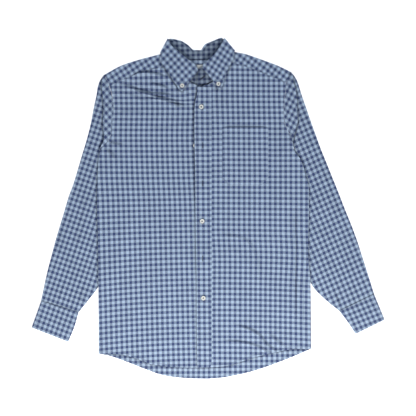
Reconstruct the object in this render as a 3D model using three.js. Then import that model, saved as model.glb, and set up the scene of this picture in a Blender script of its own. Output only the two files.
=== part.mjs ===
// A man's long-sleeved button-down flannel shirt, laid flat on its back, front up.
// Millimetres. +Z is up from the table, +Y points to the collar, +X to the wearer's left.
// "Right" and "left" in the names are the wearer's.
import * as THREE from "three";

// Cloth and the stack of layers on the table
const CLOTH = 1.0; // one layer of flannel
const SEAM_GAP = 0.3; // between pieces that are sewn together
const TOPPING_GAP = 0.8; // under a piece that lies on a curved panel
const SLEEVE_HEIGHT = 2.6; // both walls of a flattened sleeve
const CUFF_CLOTH = 1.2; // cuff wall, stiffened by its interlining
const CUFF_HEIGHT = 4.2; // cuff with its lapped ends inside
const SLEEVE_CLEARANCE = 3.0; // height of the body's back where it lies on a sleeve
const FRONT_LEVEL = 2.0; // underside of the fronts above the back's underside
const OVERLAP_LEVEL = 3.3; // underside of the left front where it lies on the right one
const OVERLAP_RAMP = 15; // the left front comes down off the right one over this width
const HIDDEN_BUTTON_LIFT = 2.5; // the left front rides over an undone button by this much
const COLLAR_FALL_LIFT = 1.3; // the yoke rises by this much over the collar's back fall

// Body
const BACK_SEAM_Y = 285; // seam between the back panel and the yoke
const RIGHT_FRONT_EDGE_X = 4; // edge of the right front, under the left one
const PLACKET_INNER_X = 8.8; // stitched side of the buttonhole strip
const PLACKET_LOW_Y = -397.5;
const PLACKET_HIGH_Y = 302;
const PLACKET_LINE_GAP = 1.0; // the strip stops this far inside the front's folded edge

const BODY_ROWS = 28; // rows of cells up each body panel

// Pocket on the left chest
const POCKET = { left: 36, right: 150, top: 201, bottom: 57, cut: 18 };

// Buttons, 18 ligne
const BUTTON_RADIUS = 5.6;
const COLLAR_BUTTON_RADIUS = 5.2;
const BUTTON_THICKNESS = 2.1;
const BUTTON_SIDES = 16;

// Side edges of the body with the armholes above them, up to the shoulder fold
const RIGHT_EDGE = [
  { y: -364, x: -272.8 },
  { y: -197, x: -273.5 },
  { y: -105, x: -274.5 },
  { y: 20, x: -276.8 },
  { y: 112.5, x: -274 },
  { y: 142.5, x: -269.3 },
  { y: 158.5, x: -256.5 },
  { y: 165.8, x: -250 },
  { y: 187.5, x: -241.3 },
  { y: 215, x: -239 },
  { y: 245, x: -235.8 },
  { y: 273, x: -237.5 },
  { y: 303.8, x: -246.3 },
  { y: 333, x: -258 },
];
const LEFT_EDGE = [
  { y: -351.8, x: 257.5 },
  { y: -261, x: 257 },
  { y: -188.8, x: 255.8 },
  { y: -107.5, x: 250 },
  { y: 0, x: 251.5 },
  { y: 52.5, x: 251 },
  { y: 78.3, x: 244.8 },
  { y: 120, x: 232 },
  { y: 142.5, x: 216 },
  { y: 165, x: 211 },
  { y: 193, x: 200 },
  { y: 215, x: 190.3 },
  { y: 245, x: 189.5 },
  { y: 270, x: 190.8 },
  { y: 297.5, x: 194.5 },
  { y: 314, x: 195 },
  { y: 340, x: 206 },
];
const RIGHT_ARMPIT_Y = 142.5;
const LEFT_ARMPIT_Y = 165;
const RIGHT_SHOULDER_Y = 333;
const LEFT_SHOULDER_Y = 340;

// Curved hems, the back's longer than the front's
const BACK_HEM = [
  { x: -272.8, y: -364 },
  { x: -248.5, y: -368.8 },
  { x: -195, y: -387.5 },
  { x: -149, y: -405.5 },
  { x: -118.5, y: -416 },
  { x: -80.3, y: -422.8 },
  { x: -42, y: -425.8 },
  { x: -3.8, y: -426.5 },
  { x: 34.5, y: -423.8 },
  { x: 72.8, y: -417 },
  { x: 105, y: -409.5 },
  { x: 192.5, y: -379.3 },
  { x: 257.5, y: -351.8 },
];
const FRONT_HEM = [
  { x: -272.8, y: -364 },
  { x: -222.5, y: -365.5 },
  { x: -183.5, y: -375 },
  { x: -135.8, y: -391.3 },
  { x: -91.8, y: -397 },
  { x: -30.5, y: -398.8 },
  { x: 34.5, y: -396 },
  { x: 60, y: -391 },
  { x: 107.5, y: -375.5 },
  { x: 158.5, y: -362.5 },
  { x: 222, y: -352 },
  { x: 257.5, y: -351.8 },
];

// Folded front edge of the left front
const PLACKET_EDGE = [
  { y: -395, x: -26.8 },
  { y: -305, x: -28.5 },
  { y: -167.5, x: -29 },
  { y: -67.5, x: -31.3 },
  { y: 57.5, x: -32 },
  { y: 195, x: -34.3 },
  { y: 240, x: -34.3 },
  { y: 282.5, x: -28.3 },
  { y: 303, x: -27 },
];

// Front necklines and the yoke's front seams, from the front edge out to the armhole
const RIGHT_FRONT_TOP = [
  { x: -246.3, y: 303.8 },
  { x: -225, y: 316.8 },
  { x: -195, y: 327.5 },
  { x: -167.5, y: 340 },
  { x: -107.5, y: 352.5 },
  { x: -92, y: 355.5 },
  { x: -72, y: 333 },
  { x: -48, y: 316 },
  { x: -24, y: 307 },
  { x: 4, y: 305 },
];
const LEFT_FRONT_TOP = [
  { x: -27, y: 303 },
  { x: 0, y: 309 },
  { x: 18, y: 322 },
  { x: 34, y: 341 },
  { x: 46, y: 364 },
  { x: 107.5, y: 349.3 },
  { x: 145.8, y: 333.5 },
  { x: 177.8, y: 320.8 },
  { x: 195, y: 314 },
];

// Shoulder folds from armhole to neck, and the back neckline between them
const RIGHT_SHOULDER = [
  { x: -258, y: 333 },
  { x: -217.5, y: 355 },
  { x: -172.5, y: 370 },
  { x: -119.3, y: 383.8 },
  { x: -106, y: 387.5 },
];
const LEFT_SHOULDER = [
  { x: 56, y: 392.5 },
  { x: 68.5, y: 389 },
  { x: 90, y: 385 },
  { x: 135, y: 370 },
  { x: 175, y: 355 },
  { x: 206, y: 340 },
];
const BACK_NECK = [
  { x: -106, y: 387.5 },
  { x: -84, y: 376.5 },
  { x: -55, y: 371 },
  { x: -25, y: 370 },
  { x: 5, y: 371.5 },
  { x: 36, y: 380 },
  { x: 56, y: 392.5 },
];

// The sleeve's strip between the armhole seam and the crease where the sleeve turns under it;
// part is the share of the way up from the armpit
const RIGHT_CAP = [
  { part: 0, width: 3 },
  { part: 0.1, width: 9 },
  { part: 0.3, width: 21 },
  { part: 0.5, width: 24 },
  { part: 0.65, width: 24 },
  { part: 1, width: 9 },
];
const LEFT_CAP = [
  { part: 0, width: 3 },
  { part: 0.08, width: 7 },
  { part: 0.18, width: 20 },
  { part: 0.3, width: 33 },
  { part: 0.5, width: 32 },
  { part: 1, width: 9 },
];

// Sleeve sections below that crease, each from the underarm edge to the outer edge
const RIGHT_SLEEVE = [
  { innerX: -273.5, innerY: 134, outerX: -282.5, outerY: 262 },
  { innerX: -271, innerY: 127, outerX: -293.5, outerY: 206 },
  { innerX: -262, innerY: 116, outerX: -304, outerY: 166 },
  { innerX: -246, innerY: 101, outerX: -315.5, outerY: 128 },
  { innerX: -224, innerY: 80, outerX: -327, outerY: 89 },
  { innerX: -211, innerY: 40, outerX: -336.5, outerY: 58 },
  { innerX: -212, innerY: 0, outerX: -347, outerY: 30 },
  { innerX: -220, innerY: -45, outerX: -359, outerY: -10 },
  { innerX: -232, innerY: -90, outerX: -370.5, outerY: -48 },
  { innerX: -246, innerY: -132, outerX: -382, outerY: -87 },
  { innerX: -260, innerY: -168, outerX: -391.5, outerY: -123 },
  { innerX: -276, innerY: -199, outerX: -400.5, outerY: -157 },
  { innerX: -299, innerY: -230, outerX: -409, outerY: -196 },
  { innerX: -323.3, innerY: -259.6, outerX: -416.2, outerY: -231.6 },
];
const LEFT_SLEEVE = [
  { innerX: 214.5, innerY: 158, outerX: 242, outerY: 259 },
  { innerX: 216, innerY: 148, outerX: 255, outerY: 221 },
  { innerX: 212, innerY: 136, outerX: 268, outerY: 185 },
  { innerX: 204, innerY: 116, outerX: 282.5, outerY: 145 },
  { innerX: 197, innerY: 88, outerX: 296, outerY: 112 },
  { innerX: 195, innerY: 50, outerX: 310, outerY: 77 },
  { innerX: 199, innerY: 8, outerX: 325, outerY: 40 },
  { innerX: 208, innerY: -36, outerX: 340.5, outerY: 0 },
  { innerX: 220, innerY: -82, outerX: 356, outerY: -38 },
  { innerX: 233, innerY: -124, outerX: 371, outerY: -78 },
  { innerX: 246, innerY: -162, outerX: 383, outerY: -115 },
  { innerX: 263, innerY: -197, outerX: 395, outerY: -152 },
  { innerX: 293, innerY: -228, outerX: 405, outerY: -184 },
  { innerX: 327.9, innerY: -256.4, outerX: 413.9, outerY: -215.2 },
];
const HIDDEN_FROM = 2; // first of those sections that reaches under the body

// Cuffs, each from the sleeve seam to the lower edge
const RIGHT_CUFF = [
  { innerX: -323.8, innerY: -260.5, outerX: -416.5, outerY: -232.5 },
  { innerX: -334, innerY: -296, outerX: -428, outerY: -265 },
  { innerX: -349.5, innerY: -333.8, outerX: -440, outerY: -298.5 },
];
const LEFT_CUFF = [
  { innerX: 328.5, innerY: -257, outerX: 414.4, outerY: -215.8 },
  { innerX: 345.5, innerY: -279, outerX: 427.5, outerY: -247.5 },
  { innerX: 369.3, innerY: -314, outerX: 440.5, outerY: -279.3 },
];
// Cuff ends on the lower side, as shares of the cuff's width from the inner edge
const CUFF_LAP = { underEnd: 0.34, underTop: 0.64, underFoot: 0.76, overEnd: 0.62, level: 1.5 };

// Collar stand: its lower edge along the neckline and its upper edge inside the collar's fold
const STAND = [
  { place: "front", lowX: 3, lowY: 313, highX: 0, highY: 341, level: 2.7 },
  { place: "front", lowX: -24, lowY: 310.5, highX: -26, highY: 344.5, level: 2.7 },
  { place: "front", lowX: -47, lowY: 319, highX: -52, highY: 368, level: 2.8 },
  { place: "front", lowX: -70.5, lowY: 336.5, highX: -75, highY: 387.5, level: 3.0 },
  { place: "front", lowX: -90, lowY: 358.5, highX: -96, highY: 412, level: 3.6 },
  { place: "turn", lowX: -106.5, lowY: 389, highX: -98.5, highY: 418.5, level: 2.5 },
  { place: "back", lowX: -100, lowY: 386, highX: -93, highY: 418.5, level: 1.3 },
  { place: "back", lowX: -84, lowY: 377.5, highX: -72, highY: 415.5, level: 1.3 },
  { place: "back", lowX: -55, lowY: 372, highX: -50, highY: 403.5, level: 1.3 },
  { place: "back", lowX: -27, lowY: 371, highX: -27, highY: 390.5, level: 1.3 },
  { place: "back", lowX: 5, lowY: 372.5, highX: 4, highY: 410.5, level: 1.3 },
  { place: "back", lowX: 34, lowY: 380.5, highX: 22, highY: 418, level: 1.3 },
  { place: "back", lowX: 50, lowY: 390, highX: 31, highY: 421, level: 1.3 },
  { place: "turn", lowX: 56.5, lowY: 394, highX: 37.5, highY: 419.5, level: 2.5 },
  { place: "front", lowX: 45, lowY: 366, highX: 34, highY: 408, level: 3.6 },
  { place: "front", lowX: 33, lowY: 342.5, highX: 15.5, highY: 381.5, level: 4.0 },
  { place: "front", lowX: 17, lowY: 323, highX: -2, highY: 362, level: 4.9 },
  { place: "front", lowX: -3, lowY: 311.5, highX: -15, highY: 351, level: 6.5 },
  { place: "front", lowX: -26.5, lowY: 307.5, highX: -26, highY: 345.5, level: 6.5 },
];

// Collar fall: its folded upper edge and its free outer edge, from the right point to the left one
const FALL = [
  { place: "front", foldX: -24.5, foldY: 342.5, edgeX: -64.3, edgeY: 291.3, level: 4.9 },
  { place: "front", foldX: -28.8, foldY: 353, edgeX: -68.5, edgeY: 292.5, level: 4.9 },
  { place: "front", foldX: -51.3, foldY: 371.3, edgeX: -80.8, edgeY: 310.3, level: 5.0 },
  { place: "front", foldX: -74.8, foldY: 391, edgeX: -97.5, edgeY: 335, level: 5.2 },
  { place: "front", foldX: -94, foldY: 409, edgeX: -120, edgeY: 374, level: 5.5 },
  { place: "front", foldX: -98.5, foldY: 421, edgeX: -118, edgeY: 386.8, level: 5.5 },
  { place: "turn", foldX: -100.5, foldY: 422, edgeX: -119.7, edgeY: 387.5, level: 3.0 },
  { place: "back", foldX: -98.5, foldY: 421, edgeX: -118, edgeY: 386.8, level: 0 },
  { place: "back", foldX: -94, foldY: 423, edgeX: -114, edgeY: 371, level: 0 },
  { place: "back", foldX: -71.5, foldY: 419.3, edgeX: -88, edgeY: 357, level: 0 },
  { place: "back", foldX: -50, foldY: 407.5, edgeX: -58, edgeY: 350, level: 0 },
  { place: "back", foldX: -27, foldY: 394.5, edgeX: -27, edgeY: 347, level: 0 },
  { place: "back", foldX: 6, foldY: 415, edgeX: 8, edgeY: 351, level: 0 },
  { place: "back", foldX: 24, foldY: 422.5, edgeX: 40, edgeY: 361, level: 0 },
  { place: "back", foldX: 33, foldY: 425.5, edgeX: 59, edgeY: 374, level: 0 },
  { place: "back", foldX: 40, foldY: 421.5, edgeX: 66, edgeY: 391.3, level: 0 },
  { place: "turn", foldX: 42, foldY: 423, edgeX: 67.7, edgeY: 392, level: 3.0 },
  { place: "front", foldX: 40, foldY: 421.5, edgeX: 66, edgeY: 391.3, level: 5.5 },
  { place: "front", foldX: 35, foldY: 411, edgeX: 64.3, edgeY: 377, level: 5.5 },
  { place: "front", foldX: 17.3, foldY: 385, edgeX: 54.5, edgeY: 355, level: 6.0 },
  { place: "front", foldX: -2.3, foldY: 365.5, edgeX: 42, edgeY: 326, level: 6.8 },
  { place: "front", foldX: -12.8, foldY: 354.5, edgeX: 32.5, edgeY: 297.8, level: 7.9 },
  { place: "front", foldX: -13, foldY: 348.8, edgeX: 28.5, edgeY: 296, level: 7.9 },
];

// Label inside the back neck
const LABEL = { left: -28.5, right: -11, bottom: 347.5, top: 355 };

// Buttons down the front; done is true where the button is through its hole
const FRONT_BUTTONS = [
  { name: "button_front_1", x: -16.8, y: 252.5, done: true },
  { name: "button_front_2", x: -31.5, y: 156, done: false },
  { name: "button_front_3", x: -20, y: 61, done: false },
  { name: "button_front_4", x: -14.5, y: -33, done: true },
  { name: "button_front_5", x: -16, y: -126, done: false },
  { name: "button_front_6", x: -11.5, y: -225, done: true },
];
const STAND_BUTTON = { x: -14, y: 324 };
const COLLAR_BUTTONS = [
  { name: "button_collar_right", x: -64.3, y: 305, fallRow: 1 },
  { name: "button_collar_left", x: 26, y: 309, fallRow: -2 },
];

// Broad low ridges pressed into the fronts, each from one end to the other
const RIDGES = [
  { fromX: -225, fromY: 311, toX: -55, toY: 266, halfWidth: 16, height: 1.8 },
  { fromX: -170, fromY: 288, toX: -50, toY: 247, halfWidth: 15, height: 1.4 },
  { fromX: 5, fromY: -62, toX: 95, toY: -76, halfWidth: 17, height: 1.6 },
  { fromX: 95, fromY: -76, toX: 137, toY: -200, halfWidth: 17, height: 1.6 },
  { fromX: 108, fromY: -306, toX: 172, toY: -356, halfWidth: 15, height: 2.2 },
  { fromX: 218, fromY: -215, toX: 216, toY: -345, halfWidth: 14, height: 1.6 },
];

// Heights fade from full to nothing over these distances
const LIFT_MARGIN = 17;
const LIFT_FADE = 32;

const SHIRT_BLUE = 0x7089b0;
const BUTTON_CREAM = 0xe4e2d4;
const flannel = new THREE.MeshStandardMaterial({ color: SHIRT_BLUE, roughness: 0.9, metalness: 0 });
const flannelOnTop = new THREE.MeshStandardMaterial({ color: 0x7f97bd, roughness: 0.9, metalness: 0 });
const labelCloth = new THREE.MeshStandardMaterial({ color: 0xb4bcc0, roughness: 0.8, metalness: 0 });
const buttonResin = new THREE.MeshStandardMaterial({ color: BUTTON_CREAM, roughness: 0.35, metalness: 0 });

const { lerp, clamp, smoothstep } = THREE.MathUtils;

// The value of column `wanted` where column `known` is at `at`, straight between the rows of a table.
function readTable(table, known, wanted, at) {
  const last = table.length - 1;
  let i = 0;
  while (i < last - 1 && at > table[i + 1][known]) i += 1;
  const a = table[i];
  const b = table[i + 1];
  const share = clamp((at - a[known]) / (b[known] - a[known]), 0, 1);
  return lerp(a[wanted], b[wanted], share);
}

const rightEdgeX = (y) => readTable(RIGHT_EDGE, "y", "x", y);
const leftEdgeX = (y) => readTable(LEFT_EDGE, "y", "x", y);
const placketEdgeX = (y) => readTable(PLACKET_EDGE, "y", "x", y);

function segmentDistance(x, y, a, b) {
  const dx = b.x - a.x;
  const dy = b.y - a.y;
  const share = clamp(((x - a.x) * dx + (y - a.y) * dy) / (dx * dx + dy * dy), 0, 1);
  return Math.hypot(x - a.x - share * dx, y - a.y - share * dy);
}

// How far a point lies outside a polygon, 0 inside it.
function distanceOutside(x, y, polygon) {
  let inside = false;
  let nearest = Infinity;
  polygon.forEach((a, i) => {
    const b = polygon[(i + 1) % polygon.length];
    nearest = Math.min(nearest, segmentDistance(x, y, a, b));
    const crosses = a.y > y !== b.y > y && x < ((b.x - a.x) * (y - a.y)) / (b.y - a.y) + a.x;
    if (crosses) inside = !inside;
  });
  return inside ? 0 : nearest;
}

// 1 up to the margin from a polygon, fading smoothly to 0.
function nearness(x, y, polygon) {
  const away = distanceOutside(x, y, polygon);
  return 1 - smoothstep(away, LIFT_MARGIN, LIFT_MARGIN + LIFT_FADE);
}

const hiddenSleeve = (sections) => {
  const hidden = sections.slice(HIDDEN_FROM);
  const inner = hidden.map((s) => ({ x: s.innerX, y: s.innerY }));
  const outer = hidden.map((s) => ({ x: s.outerX, y: s.outerY }));
  return [...inner, ...outer.reverse()];
};
const SLEEVE_AREAS = [hiddenSleeve(RIGHT_SLEEVE), hiddenSleeve(LEFT_SLEEVE)];

const backFall = FALL.filter((s) => s.place !== "front");
const FALL_AREA = [
  ...backFall.map((s) => ({ x: s.foldX, y: s.foldY })),
  ...backFall.map((s) => ({ x: s.edgeX, y: s.edgeY })).reverse(),
];

// Underside of the back and yoke: on the table, raised over the sleeves and over the collar's back fall.
function backLevel(x, y) {
  const overSleeve = Math.max(...SLEEVE_AREAS.map((area) => nearness(x, y, area)));
  const overFall = nearness(x, y, FALL_AREA);
  return Math.max(SLEEVE_CLEARANCE * overSleeve, COLLAR_FALL_LIFT * overFall);
}

function ridgeHeight(x, y) {
  const heights = RIDGES.map((ridge) => {
    const from = { x: ridge.fromX, y: ridge.fromY };
    const to = { x: ridge.toX, y: ridge.toY };
    const away = segmentDistance(x, y, from, to) / ridge.halfWidth;
    return away < 1 ? ridge.height * (1 - away * away) ** 2 : 0;
  });
  return Math.max(...heights);
}

const frontLevel = (x, y) => backLevel(x, y) + FRONT_LEVEL + ridgeHeight(x, y);

// How much an undone button under the placket lifts it at this height up the shirt.
function hiddenButtonLift(y) {
  const lifts = FRONT_BUTTONS.filter((b) => !b.done).map((b) => 1 - smoothstep(Math.abs(y - b.y), 16, 46));
  return HIDDEN_BUTTON_LIFT * Math.max(...lifts);
}

// Underside of the left front: up on the right front beside its edge, then down beside it.
function leftFrontLevel(x, y) {
  const rampFrom = RIGHT_FRONT_EDGE_X + 3;
  const onRightFront = 1 - smoothstep(x, rampFrom, rampFrom + OVERLAP_RAMP);
  return lerp(frontLevel(x, y), OVERLAP_LEVEL + hiddenButtonLift(y), onRightFront);
}

// A pair of points through the wall's thickness, outer face first.
const faceUp = (x, y, level, cloth = CLOTH) => ({ out: [x, y, level + cloth], in: [x, y, level] });
const faceDown = (x, y, level, cloth = CLOTH) => ({ out: [x, y, level], in: [x, y, level + cloth] });
const faceOut = (x, y, level, away, cloth = CLOTH) => ({
  out: [x, y, level],
  in: [x - away[0] * cloth, y - away[1] * cloth, level],
});

// A closed wall from a grid of point pairs. ring joins the last column to the first,
// and hasCell(row, column) leaves a cell of the grid open.
function wallGeometry(grid, { ring = false, hasCell = () => true } = {}) {
  const rowCount = grid.length;
  const columnCount = grid[0].length;
  const cellColumns = ring ? columnCount : columnCount - 1;
  const isCell = (i, j) => {
    if (i < 0 || i >= rowCount - 1) return false;
    if (!ring && (j < 0 || j >= cellColumns)) return false;
    return hasCell(i, (j + cellColumns) % cellColumns);
  };
  const positions = grid.flatMap((row) => row.flatMap((pair) => [...pair.out, ...pair.in]));
  const outer = (i, j) => 2 * (i * columnCount + (j % columnCount));
  const inner = (i, j) => outer(i, j) + 1;
  const index = [];
  const quad = (a, b, c, d) => index.push(a, b, c, a, c, d);
  for (let i = 0; i < rowCount - 1; i += 1) {
    for (let j = 0; j < cellColumns; j += 1) {
      if (!isCell(i, j)) continue;
      quad(outer(i, j), outer(i, j + 1), outer(i + 1, j + 1), outer(i + 1, j));
      quad(inner(i + 1, j), inner(i + 1, j + 1), inner(i, j + 1), inner(i, j));
      if (!isCell(i - 1, j)) quad(outer(i, j + 1), outer(i, j), inner(i, j), inner(i, j + 1));
      if (!isCell(i + 1, j)) quad(outer(i + 1, j), outer(i + 1, j + 1), inner(i + 1, j + 1), inner(i + 1, j));
      if (!isCell(i, j - 1)) quad(outer(i, j), outer(i + 1, j), inner(i + 1, j), inner(i, j));
      if (!isCell(i, j + 1)) quad(outer(i + 1, j + 1), outer(i, j + 1), inner(i, j + 1), inner(i + 1, j + 1));
    }
  }
  return closedGeometry(positions, index);
}

// Turns every face outwards, by the sign of the enclosed volume.
function closedGeometry(positions, index) {
  let volume = 0;
  const corner = (k) => new THREE.Vector3().fromArray(positions, 3 * index[k]);
  for (let k = 0; k < index.length; k += 3) {
    volume += corner(k).dot(corner(k + 1).cross(corner(k + 2)));
  }
  const geometry = new THREE.BufferGeometry();
  geometry.setAttribute("position", new THREE.Float32BufferAttribute(positions, 3));
  geometry.setIndex(volume < 0 ? index.reverse() : index);
  geometry.computeVertexNormals();
  return geometry;
}

const shirt = new THREE.Group();
shirt.name = "shirt";

function addPiece(name, geometry, material) {
  const mesh = new THREE.Mesh(geometry, material);
  mesh.name = name;
  shirt.add(mesh);
}

// Shares across a panel: close together near the sides, where it rises over a sleeve.
function sharesAcross(width, fineAtStart, fineAtEnd, fine = 15, coarse = 42, fineReach = 135) {
  const steps = [0];
  while (steps.at(-1) < width) {
    const at = steps.at(-1);
    const isFine = (fineAtStart && at < fineReach) || (fineAtEnd && at > width - fineReach - coarse);
    steps.push(at + (isFine ? fine : coarse));
  }
  return steps.map((step) => step / steps.at(-1));
}

// Places across a panel between its two edges, bent down to its hem and up to its top edge.
// Rows are equally far apart at each edge; shares gives the places across a row of a given width.
function panelGrid({ startX, endX, startLow, startHigh, endLow, endHigh, hem, top, shares, rows, pair }) {
  const hemTable = { from: startLow, to: endLow, table: hem };
  const topTable = { from: startHigh, to: endHigh, table: top };
  const bend = ({ from, to, table }, atStart, atEnd, share) => {
    const x = lerp(atStart, atEnd, share);
    return readTable(table, "x", "y", x) - lerp(from, to, share);
  };
  const grid = [];
  for (let i = 0; i <= rows; i += 1) {
    const up = i / rows;
    const startY = lerp(startLow, startHigh, up);
    const endY = lerp(endLow, endHigh, up);
    grid.push(
      shares(endX(endY) - startX(startY)).map((share) => {
        const x = lerp(startX(startY), endX(endY), share);
        const down = bend(hemTable, startX(startLow), endX(endLow), share) * (1 - up);
        const rise = bend(topTable, startX(startHigh), endX(endHigh), share) * up;
        return pair(x, lerp(startY, endY, share) + down + rise);
      }),
    );
  }
  return grid;
}

function addBack() {
  const across = sharesAcross(530, true, true);
  const corners = { startLow: -364, startHigh: BACK_SEAM_Y, endLow: -351.8, endHigh: BACK_SEAM_Y };
  const grid = panelGrid({
    startX: rightEdgeX,
    endX: leftEdgeX,
    ...corners,
    hem: BACK_HEM,
    top: [
      { x: -300, y: BACK_SEAM_Y },
      { x: 300, y: BACK_SEAM_Y },
    ],
    shares: () => across,
    rows: BODY_ROWS,
    pair: (x, y) => faceDown(x, y, backLevel(x, y)),
  });
  addPiece("back", wallGeometry(grid), flannel);
}

function addRightFront() {
  const across = sharesAcross(277, true, false, 15, 20);
  const grid = panelGrid({
    startX: rightEdgeX,
    endX: () => RIGHT_FRONT_EDGE_X,
    startLow: -364,
    startHigh: RIGHT_FRONT_TOP[0].y - SEAM_GAP,
    endLow: -397.5,
    endHigh: RIGHT_FRONT_TOP.at(-1).y - SEAM_GAP,
    hem: FRONT_HEM,
    top: RIGHT_FRONT_TOP.map(({ x, y }) => ({ x, y: y - SEAM_GAP })),
    shares: () => across,
    rows: BODY_ROWS,
    pair: (x, y) => faceUp(x, y, x > -50 ? FRONT_LEVEL : frontLevel(x, y)),
  });
  addPiece("front_right", wallGeometry(grid), flannelOnTop);
}

function addLeftFront() {
  const fromEdge = [0, 18, 36.5, 46, 56];
  const rest = sharesAcross(225, false, true).slice(1);
  const across = (width) => [
    ...fromEdge.map((distance) => distance / width),
    ...rest.map((share) => lerp(fromEdge.at(-1) / width, 1, share)),
  ];
  const grid = panelGrid({
    startX: placketEdgeX,
    endX: leftEdgeX,
    startLow: -398.5,
    startHigh: LEFT_FRONT_TOP[0].y - SEAM_GAP,
    endLow: -351.8,
    endHigh: LEFT_FRONT_TOP.at(-1).y - SEAM_GAP,
    hem: FRONT_HEM,
    top: LEFT_FRONT_TOP.map(({ x, y }) => ({ x, y: y - SEAM_GAP })),
    shares: across,
    rows: BODY_ROWS,
    pair: (x, y) => faceUp(x, y, leftFrontLevel(x, y)),
  });
  addPiece("front_left", wallGeometry(grid), flannelOnTop);
}

// The buttonhole strip lies on the left front along its edge.
function addPlacket() {
  const across = [0, 0.5, 1];
  const grid = [];
  for (let i = 0; i <= BODY_ROWS; i += 1) {
    const y = lerp(PLACKET_LOW_Y, PLACKET_HIGH_Y, i / BODY_ROWS);
    const edgeX = placketEdgeX(y) + PLACKET_LINE_GAP;
    grid.push(
      across.map((share) => {
        const x = lerp(edgeX, PLACKET_INNER_X, share);
        return faceUp(x, y, leftFrontLevel(x, y) + CLOTH + TOPPING_GAP);
      }),
    );
  }
  addPiece("placket", wallGeometry(grid), flannelOnTop);
}

function addPocket() {
  const columns = 8;
  const rows = 8;
  const grid = [];
  for (let i = 0; i <= rows; i += 1) {
    const up = i / rows;
    grid.push(
      Array.from({ length: columns + 1 }, (_, j) => {
        const share = j / columns;
        const fromCorner = Math.min(share, 1 - share) * (POCKET.right - POCKET.left);
        const cornerRise = Math.max(0, POCKET.cut - fromCorner) * (1 - up);
        const x = lerp(POCKET.left, POCKET.right, share);
        const y = lerp(POCKET.bottom, POCKET.top, up) + cornerRise;
        return faceUp(x, y, leftFrontLevel(x, y) + CLOTH + TOPPING_GAP);
      }),
    );
  }
  addPiece("pocket", wallGeometry(grid), flannelOnTop);
}

// One yoke station: up the back, round the shoulder fold and down to the front seam.
function yokeStation(low, fold, front) {
  const backRows = [0, 0.34, 0.67, 1];
  const frontRows = [0, 0.5, 1];
  const inset = 1.6;
  const back = backRows.map((up) => {
    const y = lerp(low.y, fold.y - inset, up);
    const x = clamp(lerp(low.x, fold.x, up), rightEdgeX(y), leftEdgeX(y));
    return faceDown(x, y, backLevel(x, y));
  });
  const foldLevel = backLevel(fold.x, fold.y) + (FRONT_LEVEL + CLOTH) / 2;
  const turn = faceOut(fold.x, fold.y, foldLevel, [0, 1]);
  const strip = frontRows.map((down) => {
    const x = lerp(fold.x, front.x, down);
    const y = lerp(fold.y - inset, front.y + 2 * SEAM_GAP, down);
    return faceUp(x, y, backLevel(x, y) + FRONT_LEVEL);
  });
  return [...back, turn, ...strip];
}

function addYoke() {
  const wrapStations = 10;
  const neckStations = 8;
  const stations = [];
  const backX = (x) => clamp(x, rightEdgeX(BACK_SEAM_Y), leftEdgeX(BACK_SEAM_Y));
  const low = (x) => ({ x: backX(x), y: BACK_SEAM_Y + SEAM_GAP });
  const wrapAt = (shoulder, seam, share) => {
    const foldX = lerp(shoulder[0].x, shoulder.at(-1).x, share);
    const seamX = lerp(seam[0].x, seam.at(-1).x, share);
    const fold = { x: foldX, y: readTable(shoulder, "x", "y", foldX) };
    const front = { x: seamX, y: readTable(seam, "x", "y", seamX) };
    return yokeStation(low(foldX), fold, front);
  };
  const rightSeam = RIGHT_FRONT_TOP.slice(0, 6);
  const leftSeam = LEFT_FRONT_TOP.slice(4);
  for (let i = 0; i <= wrapStations; i += 1) {
    stations.push(wrapAt(RIGHT_SHOULDER, rightSeam, i / wrapStations));
  }
  for (let i = 1; i < neckStations; i += 1) {
    const x = lerp(BACK_NECK[0].x, BACK_NECK.at(-1).x, i / neckStations);
    const neck = { x, y: readTable(BACK_NECK, "x", "y", x) };
    stations.push(yokeStation(low(x), neck, neck));
  }
  for (let i = 0; i <= wrapStations; i += 1) {
    stations.push(wrapAt(LEFT_SHOULDER, leftSeam, i / wrapStations));
  }
  const atNeck = (i) => i >= wrapStations && i < wrapStations + neckStations;
  const backCells = 3;
  const hasCell = (i, j) => !atNeck(i) || j < backCells;
  addPiece("yoke", wallGeometry(stations, { hasCell }), flannelOnTop);
}

// One ring of a flattened tube from its inner to its outer edge, upper wall first.
// bottom and top are functions of the share across.
function tubeRing(place, bottom, top, across, cloth) {
  const inset = 1.5;
  const first = place(0);
  const last = place(1);
  const width = Math.hypot(last.x - first.x, last.y - first.y);
  const along = [(last.x - first.x) / width, (last.y - first.y) / width];
  const at = (share) => {
    const p = place(share);
    const shift = inset * (1 - 2 * share);
    return { x: p.x + along[0] * shift, y: p.y + along[1] * shift };
  };
  const shares = Array.from({ length: across + 1 }, (_, k) => k / across);
  const upper = shares.map((share) => {
    const p = at(share);
    return faceUp(p.x, p.y, top(share) - cloth, cloth);
  });
  const lower = shares.map((share) => {
    const p = at(share);
    return faceDown(p.x, p.y, bottom(share), cloth);
  });
  const middle = (share) => (bottom(share) + top(share)) / 2;
  const outerFold = faceOut(last.x, last.y, middle(1), along, cloth);
  const innerFold = faceOut(first.x, first.y, middle(0), [-along[0], -along[1]], cloth);
  return [...upper, outerFold, ...lower.reverse(), innerFold];
}

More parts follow.
